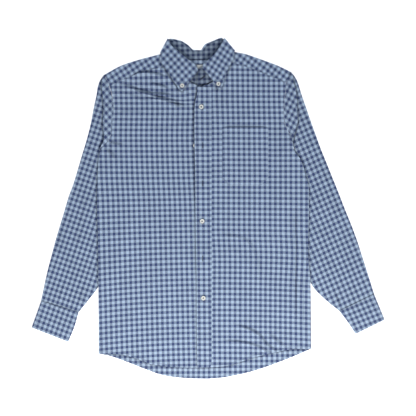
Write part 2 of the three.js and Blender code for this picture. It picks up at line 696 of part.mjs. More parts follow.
function addSleeve(name, { side, edgeX, armpitY, shoulderY, cap, sections }) {
  const across = 12;
  const armholeAt = (share, away) => {
    const y = lerp(armpitY, shoulderY, share);
    return { x: edgeX(y) + side * away, y: y - (1 - share) * Math.min(away, 3) };
  };
  const capWidth = (share) => readTable(cap, "part", "width", share);
  const seamLevel = (share) => {
    const p = armholeAt(share, 0);
    return backLevel(p.x, p.y);
  };
  const capTop = (share) => 4.2 + CLOTH - 1.6 * smoothstep(share, 0.6, 1);
  const onTable = () => 0;
  const sleeveTop = () => SLEEVE_HEIGHT;
  const rings = [
    tubeRing(
      (share) => armholeAt(share, 4 * SEAM_GAP),
      seamLevel,
      (share) => seamLevel(share) + FRONT_LEVEL + CLOTH,
      across,
      CLOTH,
    ),
    tubeRing((share) => armholeAt(share, capWidth(share)), onTable, capTop, across, CLOTH),
    tubeRing((share) => armholeAt(share, capWidth(share) + 3), onTable, sleeveTop, across, CLOTH),
    ...sections.map((s) =>
      tubeRing(
        (share) => ({ x: lerp(s.innerX, s.outerX, share), y: lerp(s.innerY, s.outerY, share) }),
        onTable,
        sleeveTop,
        across,
        CLOTH,
      ),
    ),
  ];
  addPiece(name, wallGeometry(rings, { ring: true }), flannel);
}

// A cuff is one strip wound round the wrist, its ends lapped on the side that lies down.
function cuffStation(s) {
  const inset = 1.8;
  const width = Math.hypot(s.outerX - s.innerX, s.outerY - s.innerY);
  const along = [(s.outerX - s.innerX) / width, (s.outerY - s.innerY) / width];
  const at = (share) => {
    const from = clamp(share * width, inset, width - inset);
    return [s.innerX + along[0] * from, s.innerY + along[1] * from];
  };
  const top = CUFF_HEIGHT - CUFF_CLOTH;
  const { underEnd, underTop, underFoot, overEnd, level } = CUFF_LAP;
  return [
    faceDown(...at(underEnd), level, CUFF_CLOTH),
    faceDown(...at(underTop), level, CUFF_CLOTH),
    faceDown(...at(underFoot), 0, CUFF_CLOTH),
    faceDown(...at(1), 0, CUFF_CLOTH),
    faceOut(s.outerX, s.outerY, CUFF_HEIGHT / 2, along, CUFF_CLOTH),
    faceUp(...at(1), top, CUFF_CLOTH),
    faceUp(...at(0.5), top, CUFF_CLOTH),
    faceUp(...at(0), top, CUFF_CLOTH),
    faceOut(s.innerX, s.innerY, CUFF_HEIGHT / 2, [-along[0], -along[1]], CUFF_CLOTH),
    faceDown(...at(0), 0, CUFF_CLOTH),
    faceDown(...at(overEnd), 0, CUFF_CLOTH),
  ];
}

// A collar strip: front stretches face up, the back stretch faces down, and the turns stand between.
function collarPair(row, x, y, outwards) {
  if (row.place === "front") return faceUp(x, y, row.level);
  if (row.place === "back") return faceDown(x, y, row.level);
  return faceOut(x, y, row.level + CLOTH / 2, outwards);
}

function addCollarStand() {
  const across = 3;
  const grid = STAND.map((row) => {
    const outwards = [row.lowX < 0 ? -1 : 1, 0];
    return Array.from({ length: across + 1 }, (_, k) => {
      const x = lerp(row.lowX, row.highX, k / across);
      const y = lerp(row.lowY, row.highY, k / across);
      return collarPair(row, x, y, outwards);
    });
  });
  addPiece("collar_stand", wallGeometry(grid), flannel);
}

function addCollar() {
  const across = 4;
  const grid = FALL.map((row) => {
    const outwards = [row.edgeX < 0 ? -1 : 1, 0];
    return Array.from({ length: across + 1 }, (_, k) => {
      const x = lerp(row.foldX, row.edgeX, k / across);
      const y = lerp(row.foldY, row.edgeY, k / across);
      return collarPair(row, x, y, outwards);
    });
  });
  addPiece("collar", wallGeometry(grid), flannelOnTop);
}

function addLabel() {
  const grid = [LABEL.bottom, LABEL.top].map((y) =>
    [LABEL.left, LABEL.right].map((x) => faceUp(x, y, backLevel(x, y) + CLOTH + 2 * SEAM_GAP)),
  );
  addPiece("label", wallGeometry(grid), labelCloth);
}

// A turned button: flat below, a raised rim and a dished centre above.
function buttonGeometry(radius) {
  const profile = [
    [0, 0],
    [0.86 * radius, 0],
    [radius, 0.45 * BUTTON_THICKNESS],
    [0.93 * radius, BUTTON_THICKNESS],
    [0.74 * radius, BUTTON_THICKNESS],
    [0.55 * radius, 0.7 * BUTTON_THICKNESS],
    [0, 0.7 * BUTTON_THICKNESS],
  ];
  const points = profile.map(([x, y]) => new THREE.Vector2(x, y));
  return new THREE.LatheGeometry(points, BUTTON_SIDES).rotateX(Math.PI / 2);
}

function addButton(name, x, y, level, radius = BUTTON_RADIUS) {
  const mesh = new THREE.Mesh(buttonGeometry(radius), buttonResin);
  mesh.name = name;
  mesh.position.set(x, y, level);
  shirt.add(mesh);
}

function addButtons() {
  const onPlacket = (b) => leftFrontLevel(b.x, b.y) + 2 * CLOTH + TOPPING_GAP + 2 * SEAM_GAP;
  const onRightFront = () => FRONT_LEVEL + CLOTH + SEAM_GAP;
  FRONT_BUTTONS.forEach((b) => addButton(b.name, b.x, b.y, b.done ? onPlacket(b) : onRightFront()));
  const standTop = STAND[0].level + CLOTH;
  addButton("button_stand", STAND_BUTTON.x, STAND_BUTTON.y, standTop + SEAM_GAP);
  COLLAR_BUTTONS.forEach((b) => {
    const level = FALL.at(b.fallRow).level + CLOTH + SEAM_GAP;
    addButton(b.name, b.x, b.y, level, COLLAR_BUTTON_RADIUS);
  });
}

addBack();
addYoke();
addRightFront();
addLeftFront();
addPlacket();
addPocket();
addSleeve("sleeve_right", {
  side: -1,
  edgeX: rightEdgeX,
  armpitY: RIGHT_ARMPIT_Y,
  shoulderY: RIGHT_SHOULDER_Y,
  cap: RIGHT_CAP,
  sections: RIGHT_SLEEVE,
});
addSleeve("sleeve_left", {
  side: 1,
  edgeX: leftEdgeX,
  armpitY: LEFT_ARMPIT_Y,
  shoulderY: LEFT_SHOULDER_Y,
  cap: LEFT_CAP,
  sections: LEFT_SLEEVE,
});
addPiece("cuff_right", wallGeometry(RIGHT_CUFF.map(cuffStation)), flannelOnTop);
addPiece("cuff_left", wallGeometry(LEFT_CUFF.map(cuffStation)), flannelOnTop);
addCollarStand();
addCollar();
addLabel();
addButtons();

export default shirt;
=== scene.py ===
"""A man's button-down flannel shirt in small gingham checks, laid flat on its back, front up.

Lengths are in millimetres until a mesh is made. +Z is up, +Y points to the collar and +X to the
wearer's left. "Right" and "left" in the names are the wearer's.
"""

import math

import bmesh
import bpy
import numpy as np
from mathutils import Matrix, Vector


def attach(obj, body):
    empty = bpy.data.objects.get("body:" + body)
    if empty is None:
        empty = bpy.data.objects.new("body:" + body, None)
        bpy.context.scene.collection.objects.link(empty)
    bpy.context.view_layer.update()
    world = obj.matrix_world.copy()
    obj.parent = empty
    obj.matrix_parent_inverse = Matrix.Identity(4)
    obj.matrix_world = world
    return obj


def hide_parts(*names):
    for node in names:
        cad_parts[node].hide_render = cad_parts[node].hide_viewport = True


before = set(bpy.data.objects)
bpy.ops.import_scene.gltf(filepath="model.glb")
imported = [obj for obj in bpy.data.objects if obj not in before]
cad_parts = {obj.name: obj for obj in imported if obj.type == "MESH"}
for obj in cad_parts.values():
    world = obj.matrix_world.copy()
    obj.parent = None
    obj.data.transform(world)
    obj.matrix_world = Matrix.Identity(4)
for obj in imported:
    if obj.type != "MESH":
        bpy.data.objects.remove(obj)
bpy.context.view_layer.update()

MM = 0.001

# Cloth and the stack of layers
CLOTH = 0.95
COLLAR_CLOTH = 1.3
CUFF_CLOTH = 1.3
SLEEVE_TOP = 2.6
CUFF_TOP = 4.2
SLEEVE_CLEARANCE = 3.0
FRONT_LEVEL = 2.0
OVERLAP_LEVEL = 3.3
OVERLAP_RAMP = 15
HIDDEN_BUTTON_LIFT = 2.5
COLLAR_FALL_LIFT = 1.3
TOPPING_GAP = 0.22
COLLAR_ROLL = 5.5
LIFT_MARGIN = 17
LIFT_FADE = 32

# Relief of the fronts: its middle height, its deepest trough, and where the overlap keeps it calm
RELIEF_BASE = 0.35
DEEPEST_TROUGH = -0.8
CALM_FROM, CALM_TO = -62, -36
# A crease's section, in half widths to the left of its line: a ridge steeper on one side, then a trough
RIDGE_AT, RIDGE_OUTER_SPREAD, RIDGE_INNER_SPREAD = -0.4, 0.55, 0.2
TROUGH_AT, TROUGH_SPREAD = 0.5, 0.16

# Body
BACK_SEAM_Y = 285
RIGHT_FRONT_EDGE_X = 4
SEAM_GAP = 0.4
PLACKET_INNER_X, PLACKET_WIDTH = 8.8, 36
PLACKET_CLOTH = 1.15
POCKET_LEFT, POCKET_RIGHT = 36, 150
POCKET_TOP, POCKET_BOTTOM, POCKET_CUT = 201, 57, 18

# Grid lines: distances between neighbours, and the closer ones beside an edge
CELL = 3.6
FINE_CELL = 1.5
EDGE_LINES = (0.0, 0.7, 1.7, 3.2)

# Checks: one repeat of the gingham
REPEAT = 13.2

# Sewing: the stitches, and how far each kind of row lies from its edge
STITCH_PITCH = 3.0
STITCH_LENGTH = 2.2
STITCH_RADIUS, FINE_STITCH_RADIUS = 0.24, 0.15
HEM_INSET, PATCH_INSET, PLACKET_INSET, ARMHOLE_INSET = 5.6, 1.8, 5.0, 6.5
MOUTH_INSET = 24
CUFF_SEAM_INSET, TAB_INSET, TAB_END_INSET = 2.2, 2.0, 3.0

# Edge tables, (y, x): side seam, then armhole, then up to the shoulder fold
RIGHT_EDGE = (
    (-364, -272.8), (-197, -273.5), (-105, -274.5), (20, -276.8), (112.5, -274), (142.5, -269.3),
    (158.5, -256.5), (165.8, -250), (187.5, -241.3), (215, -239), (245, -235.8), (273, -237.5),
    (303.8, -246.3), (333, -258),
)
LEFT_EDGE = (
    (-351.8, 257.5), (-261, 257), (-188.8, 255.8), (-107.5, 250), (0, 251.5), (52.5, 251),
    (78.3, 244.8), (120, 232), (142.5, 216), (165, 211), (193, 200), (215, 190.3), (245, 189.5),
    (270, 190.8), (297.5, 194.5), (314, 195), (340, 206),
)
RIGHT_ARMPIT_Y, RIGHT_SHOULDER_Y = 142.5, 333
LEFT_ARMPIT_Y, LEFT_SHOULDER_Y = 165, 340
PLACKET_EDGE = (
    (-398, -26.8), (-305, -28.5), (-167.5, -29), (-67.5, -31.3), (57.5, -32), (195, -34.3),
    (240, -34.3), (265, -32.5), (282.5, -28.3), (303, -27),
)

# Hems and seams, (x, y)
BACK_HEM = (
    (-272.8, -364), (-248.5, -368.8), (-195, -387.5), (-149, -405.5), (-118.5, -416), (-80.3, -422.8),
    (-42, -425.8), (-3.8, -426.5), (34.5, -423.8), (72.8, -417), (105, -409.5), (192.5, -379.3),
    (257.5, -351.8),
)
FRONT_HEM = (
    (-272.8, -364), (-222.5, -365.5), (-183.5, -375), (-135.8, -391.3), (-91.8, -397),
    (-30.5, -398.8), (34.5, -396), (60, -391), (107.5, -375.5), (158.5, -362.5), (222, -352),
    (257.5, -351.8),
)
RIGHT_YOKE_SEAM = (
    (-246.3, 303.8), (-225, 316.8), (-195, 327.5), (-167.5, 340), (-107.5, 352.5), (-92, 355.5),
)
RIGHT_NECKLINE = ((-92, 355.5), (-72, 333), (-48, 316), (-24, 307), (4, 305))
LEFT_NECKLINE = ((-27, 303), (0, 309), (18, 322), (34, 341), (46, 364))
LEFT_YOKE_SEAM = ((46, 364), (107.5, 349.3), (145.8, 333.5), (177.8, 320.8), (195, 314))
RIGHT_SHOULDER = ((-258, 333), (-217.5, 355), (-172.5, 370), (-119.3, 383.8), (-106, 387.5))
BACK_NECK = ((-106, 387.5), (-84, 376.5), (-55, 371), (-25, 370), (5, 371.5), (36, 380), (56, 392.5))
LEFT_SHOULDER = ((56, 392.5), (68.5, 389), (90, 385), (135, 370), (175, 355), (206, 340))

# Width of the sleeve's strip between armhole seam and crease, (share of the way up, width)
RIGHT_CAP = ((0, 1), (0.1, 9), (0.3, 21), (0.5, 24), (0.7, 23), (0.86, 17), (0.94, 11), (0.98, 5), (1, 1))
LEFT_CAP = (
    (0, 1), (0.08, 7), (0.18, 20), (0.3, 33), (0.5, 32), (0.75, 24), (0.88, 16), (0.95, 10), (0.985, 5),
    (1, 1),
)
# Rings of the sleeve's head from the seam outwards: the share of the strip's width, how much further
# out the upper and the lower wall lie, and the height of the upper wall's middle
SLEEVE_HEAD = (
    (0, 0.3, 0.3, FRONT_LEVEL + CLOTH / 2),
    (0.5, 0.4, 0.4, 6.2),
    (0.85, 0.2, 0.2, 8.6),
    (1, 0.5, 0.5, 7.4),
    (1, -3.5, 0.6, 1.9),
    (1, 7, 7, SLEEVE_TOP - CLOTH / 2 + 0.3),
)

# Sleeve and cuff sections, (inner x, inner y, outer x, outer y)
RIGHT_SLEEVE = (
    (-268.5, 134, -282.5, 262), (-271, 127, -293.5, 206), (-262, 116, -304, 166), (-246, 101, -315.5, 128),
    (-224, 80, -327, 89), (-211, 40, -336.5, 58), (-212, 0, -347, 30), (-220, -45, -359, -10),
    (-232, -90, -370.5, -48), (-246, -132, -382, -87), (-260, -168, -391.5, -123), (-276, -199, -400.5, -157),
    (-299, -230, -409, -196), (-324.2, -260.9, -417, -232.9),
)
LEFT_SLEEVE = (
    (212, 158, 242, 259), (216, 148, 255, 221), (212, 136, 268, 185), (204, 116, 282.5, 145),
    (197, 88, 296, 112), (195, 50, 310, 77), (199, 8, 325, 40), (208, -36, 340.5, 0),
    (220, -82, 356, -38), (233, -124, 371, -78), (246, -162, 383, -115), (263, -197, 395, -152),
    (293, -228, 405, -184), (329.1, -257.6, 415.1, -216.4),
)
HIDDEN_FROM = 2
RIGHT_CUFF = ((-323.8, -260.5, -416.5, -232.5), (-334, -296, -428, -265), (-349.5, -333.8, -440, -298.5))
LEFT_CUFF = ((328.5, -257, 414.4, -215.8), (345.5, -279, 427.5, -247.5), (369.3, -314, 440.5, -279.3))
CUFF_TALL = 74.0
# Shares of the cuff's width where its lapped ends stop on the lower side, and how high one laps
LAP_HEIGHT = 1.5
LAP_UNDER_END, LAP_UNDER_TOP, LAP_UNDER_FOOT, LAP_OVER_END = 0.34, 0.64, 0.76, 0.62

# Width of the neckband and of the collar's fall, and their grids
STAND_WIDTH, FALL_WIDTH = 36, 50
COLLAR_ACROSS, COLLAR_ALONG = 3.0, 3.2
# Middle between the two collar leaves
NECK_MIDDLE_X = -26

# Collar stand, (place, low x, low y, high x, high y, level)
STAND = (
    ("front", 3, 313, 0, 341, 2.7), ("front", -24, 310.5, -26, 344.5, 2.7),
    ("front", -47, 319, -52, 368, 2.8), ("front", -70.5, 336.5, -75, 387.5, 3.0),
    ("front", -90, 358.5, -96, 412, 3.6),
    ("turn", -106.5, 389, -98.5, 418.5, 2.5),
    ("back", -100, 386, -93, 418.5, 1.3), ("back", -84, 377.5, -72, 415.5, 1.3),
    ("back", -55, 372, -50, 403.5, 1.3), ("back", -36, 371, -36, 392, 1.3),
    ("back", -18.5, 371, -18.5, 391, 1.3), ("back", 5, 372.5, 4, 410.5, 1.3),
    ("back", 34, 380.5, 22, 418, 1.3), ("back", 50, 390, 31, 421, 1.3),
    ("turn", 56.5, 394, 37.5, 419.5, 2.5),
    ("front", 45, 366, 34, 408, 3.6), ("front", 33, 342.5, 15.5, 381.5, 4.0),
    ("front", 17, 323, -2, 362, 4.9), ("front", -3, 311.5, -15, 351, 5.2),
    ("front", -26.5, 307.5, -26, 345.5, 5.0),
)
# Collar fall, (place, fold x, fold y, edge x, edge y, level)
FALL = (
    ("front", -24.5, 342.5, -64.3, 291.3, 5.6), ("front", -28.8, 353, -68.5, 292.5, 5.2),
    ("front", -51.3, 371.3, -80.8, 310.3, 5.8), ("front", -74.8, 391, -97.5, 335, 6.4),
    ("front", -94, 409, -120, 374, 6.5), ("front", -98.5, 421, -118, 386.8, 6.0),
    ("turn", -100.5, 422, -119.7, 387.5, 3.0),
    ("back", -98.5, 421, -118, 386.8, 0), ("back", -94, 423, -114, 371, 0),
    ("back", -71.5, 419.3, -88, 357, 0), ("back", -50, 407.5, -58, 350, 0),
    ("back", -36, 395.5, -38, 347.5, 0), ("back", -18.5, 394.5, -18, 347, 0),
    ("back", -8, 408.5, -6, 348, 0), ("back", 6, 415, 8, 351, 0), ("back", 24, 422.5, 40, 361, 0),
    ("back", 33, 425.5, 59, 374, 0), ("back", 40, 421.5, 66, 391.3, 0),
    ("turn", 42, 423, 67.7, 392, 3.0),
    ("front", 40, 421.5, 66, 391.3, 6.2), ("front", 35, 411, 64.3, 377, 6.8),
    ("front", 17.3, 385, 54.5, 355, 7.2),
    ("front", -2.3, 365.5, 42, 326, 7.7), ("front", -12.8, 354.5, 32.5, 297.8, 7.9),
    ("front", -13, 348.8, 28.5, 296, 7.9),
)

# Buttons, (name, x, y, done up)
FRONT_BUTTONS = (
    ("button_front_1", -16.8, 252.5, True), ("button_front_2", -31.5, 156, False),
    ("button_front_3", -20, 61, False), ("button_front_4", -14.5, -33, True),
    ("button_front_5", -16, -126, False), ("button_front_6", -11.5, -225, True),
)
BUTTON_RADIUS = 5.6
COLLAR_BUTTON_RADIUS = 5.2
BUTTON_THICKNESS = 2.1

BUTTON_STAND_PLACE = (-14, 324)
COLLAR_BUTTON_RIGHT = (-64.3, 305)
COLLAR_BUTTON_LEFT = (26, 309)
BUTTONHOLE_LENGTH, BUTTONHOLE_GAP = 13.0, 0.75
TAB_BUTTONHOLE = (-13, 325.5, 38.0)
TAB_TOP = 7.2

# Label, its left, right, low and high edges
LABEL_EDGES = (-28.5, -11, 347.5, 357.5)

# Creases, ((x, y) points along it, half width, ridge height, trough depth)
RIGHT_FRONT_CREASES = (
    (((-238, 316), (-183, 298.3), (-151, 285.5), (-110, 272.8), (-46, 263.3)), 5.0, 4.8, 1.3),
    (((-182, 291), (-118.3, 284.3), (-80, 283.5)), 4.0, 4.4, 1.2),
    (((-168, 277.5), (-118.3, 271), (-87.5, 262), (-37.5, 252)), 4.2, 4.0, 1.3),
    (((-236, 296), (-200, 285), (-160, 270), (-125, 263)), 6, 1.4, 0.8),
    (((-200, 334), (-155, 338.5), (-110, 330), (-90, 322)), 4.8, 4.0, 1.2),
    (((-150, 312), (-118, 306), (-92, 296)), 4.5, 3.6, 1.1),
    (((-232, 236), (-200, 242), (-150, 236)), 7, 1.2, 0.6),
    (((-160, 205), (-110, 200), (-60, 212)), 7, 1.2, 0.6),
    (((-120, 268), (-80, 254), (-40, 248)), 4, 1.4, 0.9),
    (((-28, 243), (-45, 215), (-59, 188)), 6, 3.2, 0.9),
    (((-34, 300), (-32, 280), (-36, 262)), 5, 1.6, 0.8),
    (((-247, 166), (-228, 160), (-205, 158)), 4.5, 3.0, 1.1),
    (((-257, 150), (-240, 136), (-226, 116)), 5, 3.2, 0.9),
    (((-240.8, -260), (-241, -300), (-241.5, -366)), 3.0, 1.0, 0.8),
    (((-200, -345), (-160, -352), (-120, -368)), 8, 0.9, 0.4),
)
LEFT_FRONT_CREASES = (
    (((12, -58), (47, -66), (91.5, -75.8), (117, -107.5), (130, -157.5), (137, -210)), 6, 2.8, 1.2),
    (((30, -96), (70, -104), (98, -132)), 7, 1.1, 0.6),
    (((50, -286), (100, -300), (130, -317.5), (145, -337.5), (172, -355), (205, -362)), 4.8, 3.4, 1.2),
    (((20, -330), (80, -333), (122.5, -343.5), (157.5, -360), (185, -364)), 4.5, 2.8, 1.1),
    (((150, -310), (178, -334), (200, -352)), 6, 3.0, 0.7),
    (((217, 60), (218, -100), (218, -217), (222, -350)), 3.4, 2.2, 1.2),
    (((236, -120), (237, -230), (238, -345)), 3.0, 0.9, 0.7),
    (((60, 236), (110, 226), (160, 222)), 8, 1.0, 0.5),
    (((196, 200), (180, 188), (160, 182)), 5, 1.2, 0.7),
    (((208, 160), (190, 140), (176, 118)), 6, 1.4, 0.7),
    (((16, 290), (24, 262), (20, 226)), 6, 2.4, 0.7),
    (((30, 285), (42, 262), (40, 230)), 5, 2.0, 0.5),
)
RIGHT_SLEEVE_CREASES = (
    (((-300, 190), (-318, 120), (-340, 50), (-372, -75), (-401, -180)), 3.0, 2.0, 1.0),
    (((-350, -30), (-368, -90), (-385, -140), (-396, -190)), 2.8, 1.6, 0.9),
    (((-292, 90), (-310, -15), (-333, -139), (-345, -190)), 3.6, 1.9, 0.9),
    (((-353, -180), (-368, -226), (-372, -232)), 4, 2.0, 0.9),
    (((-304, -186), (-313, -215), (-325, -256)), 3.0, 2.2, 1.0),
    (((-330, -196), (-340, -225), (-350, -248)), 3.2, 1.8, 0.8),
    (((-285, -130), (-318, -170), (-345, -205)), 7, 1.1, 0.6),
    (((-225, 50), (-235, -10), (-250, -80)), 8, 1.2, 0.6),
    (((-290, -10), (-320, -40), (-352, -52)), 8, 1.0, 0.5),
)
LEFT_SLEEVE_CREASES = (
    (((258, 210), (281, 140), (306, 75), (330, 20)), 3.2, 1.9, 0.9),
    (((352, -35), (368, -80), (389, -145), (409, -205)), 3.0, 2.1, 1.0),
    (((276, 120), (300, 60), (322, 0), (334, -60)), 5, 1.9, 0.8),
    (((318, -212), (326, -230), (333, -246)), 3.0, 2.2, 1.0),
    (((352, -172), (363, -195), (371, -222)), 3.2, 2.0, 0.9),
    (((280, -110), (318, -150), (352, -185)), 7, 1.1, 0.6),
    (((262, -60), (300, -72), (338, -96)), 8, 1.0, 0.5),
    (((214, 60), (222, 0), (236, -70)), 7, 1.0, 0.5),
)
# Where the collar leaves and the placket's edge press into the fronts
RIGHT_PRESSED = (
    (((-126, 378), (-102, 337), (-85, 311), (-70, 290)), 3.4, 1.6, 1.2),
    (((-31, 330), (-29, 305), (-31, 283), (-36, 262), (-38, 240), (-38, 150), (-36, 60)), 3.0, 0.7, 0.6),
    (((-64, 297), (-48, 318), (-32, 341)), 3.2, 1.3, 1.1),
)
LEFT_PRESSED = (
    (((34, 294), (45, 325), (57, 354), (68, 384)), 3.2, 1.3, 1.0),
    (((10, 318), (28, 292), (36, 296)), 3.0, 1.0, 0.9),
)
# Cloth taken up by the creases of the right chest, ((x, y) points, millimetres)
TAKEN_UP = (
    (((-240, 314), (-183, 298.3), (-151, 285.5), (-110, 272.8), (-30, 262)), 4.4),
    (((-172, 277.5), (-118.3, 273), (-87.5, 265), (-30, 256)), 3.4),
)
NECK_CREASES = (
    (((-36, 393), (-36.5, 380), (-37, 371)), 3.0, 1.1, 0.5),
    (((-18.5, 392), (-18, 380), (-18, 371)), 3.0, 1.1, 0.5),
    (((-70, 412), (-66, 394), (-64, 376)), 5.0, 0.8, 0.4),
    (((14, 412), (18, 394), (20, 378)), 5.0, 0.8, 0.4),
)
BACK_CREASES = (
    (((-60, 270), (-62, 120), (-58, -60), (-70, -220)), 9, 0.35, 0.3),
    (((70, 262), (78, 90), (60, -120)), 9, 0.35, 0.3),
    (((-180, -40), (-90, -80), (20, -70), (120, -110)), 11, 0.35, 0.3),
    (((-150, -250), (-40, -230), (90, -260)), 10, 0.35, 0.3),
)

# Colours of the yarns and trimmings, linear
NAVY_YARN = (0.038, 0.061, 0.185, 1)
PALE_YARN = (0.515, 0.645, 0.815, 1)
THREAD_BLUE = (0.060, 0.090, 0.190, 1)
THREAD_PALE = (0.160, 0.220, 0.360, 1)
THREAD_NAVY = (0.022, 0.030, 0.062, 1)
BUTTON_CREAM = (1.000, 0.995, 0.950, 1)
LABEL_CREAM = (0.680, 0.700, 0.680, 1)
FLOOR_WHITE = (0.93, 0.93, 0.93, 1)
NAP_FIBRES = (0.36, 0.45, 0.56, 1)

# Gingham: half the blur of a stripe's edge, waver of the yarns and twill threads, all per repeat
STRIPE_BLUR = 0.025
YARN_WAVER = 0.06
THREADS_PER_REPEAT = 34
# Depth over which painted shade darkens the cloth's colour in a crevice
PAINTED_SHADE_DEPTH = 7

# Stage, in metres: the picture's scale and the lamps, (name, place, size, watts, colour)
PIXEL = 0.0025
PICTURE_PIXELS = 416
CAMERA_HEIGHT = 3.0
SENSOR = 36
FLOOR_HALF, FLOOR_DROP = 6.0, 0.0006
SKY_COLOUR, SKY_STRENGTH = (0.80, 0.92, 1.14, 1), 0.26
LAMPS = (
    ("upper left", (-2.0, 2.2, 2.0), 0.5, 12, (0.97, 1, 1)),
    ("upper right", (2.3, 2.0, 1.9), 0.4, 20, (0.97, 1, 1)),
    ("below", (0.15, -1.6, 1.15), 0.4, 31, (1, 0.98, 0.93)),
)


# Curves and surfaces

def smooth(keys, values, at):
    """Monotone cubic through values at keys, along the first axis, read at the places in at."""
    keys = np.asarray(keys, float)
    values = np.asarray(values, float)
    flat = values.reshape(len(keys), -1)
    step = np.diff(keys)[:, None]
    secant = np.diff(flat, axis=0) / step
    slope = np.zeros_like(flat)
    slope[0], slope[-1] = secant[0], secant[-1]
    before, after = secant[:-1], secant[1:]
    same = before * after > 0
    weight_before = 2 * step[1:] + step[:-1]
    weight_after = step[1:] + 2 * step[:-1]
    safe = np.where(same, 1, np.nan)
    mean = weight_before / (before * safe) + weight_after / (after * safe)
    mean = (weight_before + weight_after) / mean
    slope[1:-1] = np.where(same, mean, 0)
    at = np.clip(np.asarray(at, float), keys[0], keys[-1])
    i = np.clip(np.searchsorted(keys, at, side="right") - 1, 0, len(keys) - 2)
    h = (keys[i + 1] - keys[i])[..., None]
    t = ((at - keys[i])[..., None]) / h
    a, b = flat[i], flat[i + 1]
    ma, mb = slope[i] * h, slope[i + 1] * h
    result = (
        a * (2 * t**3 - 3 * t**2 + 1)
        + ma * (t**3 - 2 * t**2 + t)
        + b * (3 * t**2 - 2 * t**3)
        + mb * (t**3 - t**2)
    )
    return result.reshape(at.shape + values.shape[1:])


def table_curve(rows):
    """The second column of a table as a smooth function of its first."""
    keys = [r[0] for r in rows]
    values = [r[1] for r in rows]
    return lambda at: smooth(keys, values, at)


def blend(a, b, share):
    """From a at share 0 to b at share 1."""
    return a + (b - a) * share


def fade(value, start, end):
    """0 up to start and 1 from end, smooth between."""
    t = np.clip((value - start) / (end - start), 0, 1)
    return t * t * (3 - 2 * t)


def segment_distance(x, y, a, b):
    """How far places lie from the line between two points."""
    dx, dy = b[0] - a[0], b[1] - a[1]
    share = np.clip(((x - a[0]) * dx + (y - a[1]) * dy) / (dx * dx + dy * dy), 0, 1)
    return np.hypot(x - a[0] - share * dx, y - a[1] - share * dy)


def distance_outside(x, y, polygon):
    """How far places lie outside a polygon, 0 inside it."""
    inside = np.zeros(np.shape(x), bool)
    nearest = np.full(np.shape(x), np.inf)
    for a, b in zip(polygon, polygon[1:] + polygon[:1]):
        nearest = np.minimum(nearest, segment_distance(x, y, a, b))
        if a[1] != b[1]:
            crossing = (b[0] - a[0]) * (y - a[1]) / (b[1] - a[1]) + a[0]
            inside ^= ((a[1] > y) != (b[1] > y)) & (x < crossing)
    return np.where(inside, 0, nearest)


def resample(points, spacing):
    """Points a spacing apart along a smooth line through the given ones."""
    points = np.asarray(points, float)
    along = np.concatenate([[0], np.cumsum(np.linalg.norm(np.diff(points, axis=0), axis=1))])
    count = max(2, int(round(along[-1] / spacing)) + 1)
    return smooth(along, points, np.linspace(0, along[-1], count))


def ripple(x, y, wavelength, seed):
    """A smooth random swell between about -1 and 1."""
    rng = np.random.default_rng(seed)
    total = np.zeros(np.shape(x))
    waves = 9
    for _ in range(waves):
        angle = rng.uniform(0, math.pi)
        length = wavelength * rng.uniform(0.7, 1.6)
        phase = rng.uniform(0, 2 * math.pi)
        total += np.sin(2 * math.pi * (x * math.cos(angle) + y * math.sin(angle)) / length + phase)
    return total / math.sqrt(waves) / 1.3


# Heights of the layers

right_edge_x = table_curve(RIGHT_EDGE)
left_edge_x = table_curve(LEFT_EDGE)
placket_edge_x = table_curve(PLACKET_EDGE)


def area_of(sections):
    """The outline of a run of sections, as a polygon."""
    inner = [(s[0], s[1]) for s in sections]
    outer = [(s[2], s[3]) for s in sections]
    return inner + outer[::-1]


SLEEVE_AREAS = (area_of(RIGHT_SLEEVE[HIDDEN_FROM:]), area_of(LEFT_SLEEVE[HIDDEN_FROM:]))
FALL_AREA = area_of([s[1:5] for s in FALL if s[0] != "front"])


def nearness(x, y, polygon):
    """1 over a polygon and just around it, fading to 0 away from it."""
    return 1 - fade(distance_outside(x, y, polygon), LIFT_MARGIN, LIFT_MARGIN + LIFT_FADE)


def back_level(x, y):
    """Lower face of the back, raised over the sleeves and the collar that lie under it."""
    over_sleeve = np.maximum(nearness(x, y, SLEEVE_AREAS[0]), nearness(x, y, SLEEVE_AREAS[1]))
    return np.maximum(SLEEVE_CLEARANCE * over_sleeve, COLLAR_FALL_LIFT * nearness(x, y, FALL_AREA))


def places_beside(line, x, y):
    """How far each place lies to the left of a line of points, and its share of the way along."""
    away = np.full(x.shape, np.inf)
    side = np.zeros(x.shape)
    share = np.zeros(x.shape)
    steps = len(line) - 1
    for k in range(steps):
        start, step = line[k], line[k + 1] - line[k]
        t = np.clip(((x - start[0]) * step[0] + (y - start[1]) * step[1]) / (step @ step), 0, 1)
        rx, ry = x - start[0] - t * step[0], y - start[1] - t * step[1]
        distance = np.hypot(rx, ry)
        closer = distance < away
        away = np.where(closer, distance, away)
        side = np.where(closer, np.sign(step[0] * ry - step[1] * rx), side)
        share = np.where(closer, (k + t) / steps, share)
    return side * away, share


def crease_height(x, y, creases):
    """A ridge just right of each line with a trough on its left, fading out at both ends."""
    total = np.zeros(np.shape(x))
    for points, half_width, ridge, trough in creases:
        line = resample(points, 6)
        reach = 3.2 * half_width
        near = (
            (x > line[:, 0].min() - reach) & (x < line[:, 0].max() + reach)
            & (y > line[:, 1].min() - reach) & (y < line[:, 1].max() + reach)
        )
        if not near.any():
            continue
        left, share = places_beside(line, x[near], y[near])
        across = left / half_width
        ends = fade(share, 0, 0.3) * (1 - fade(share, 0.65, 1))
        spread = np.where(across < RIDGE_AT, RIDGE_OUTER_SPREAD, RIDGE_INNER_SPREAD)
        shape = ridge * np.exp(-((across - RIDGE_AT) ** 2) / spread)
        shape = shape - trough * np.exp(-((across - TROUGH_AT) ** 2) / TROUGH_SPREAD)
        total[near] += shape * ends
    return total


def swell(x, y, seed, height=0.45):
    """The slight unevenness of cloth that lies loose."""
    return height * (0.7 * ripple(x, y, 95, seed) + 0.3 * ripple(x, y, 34, seed + 1))


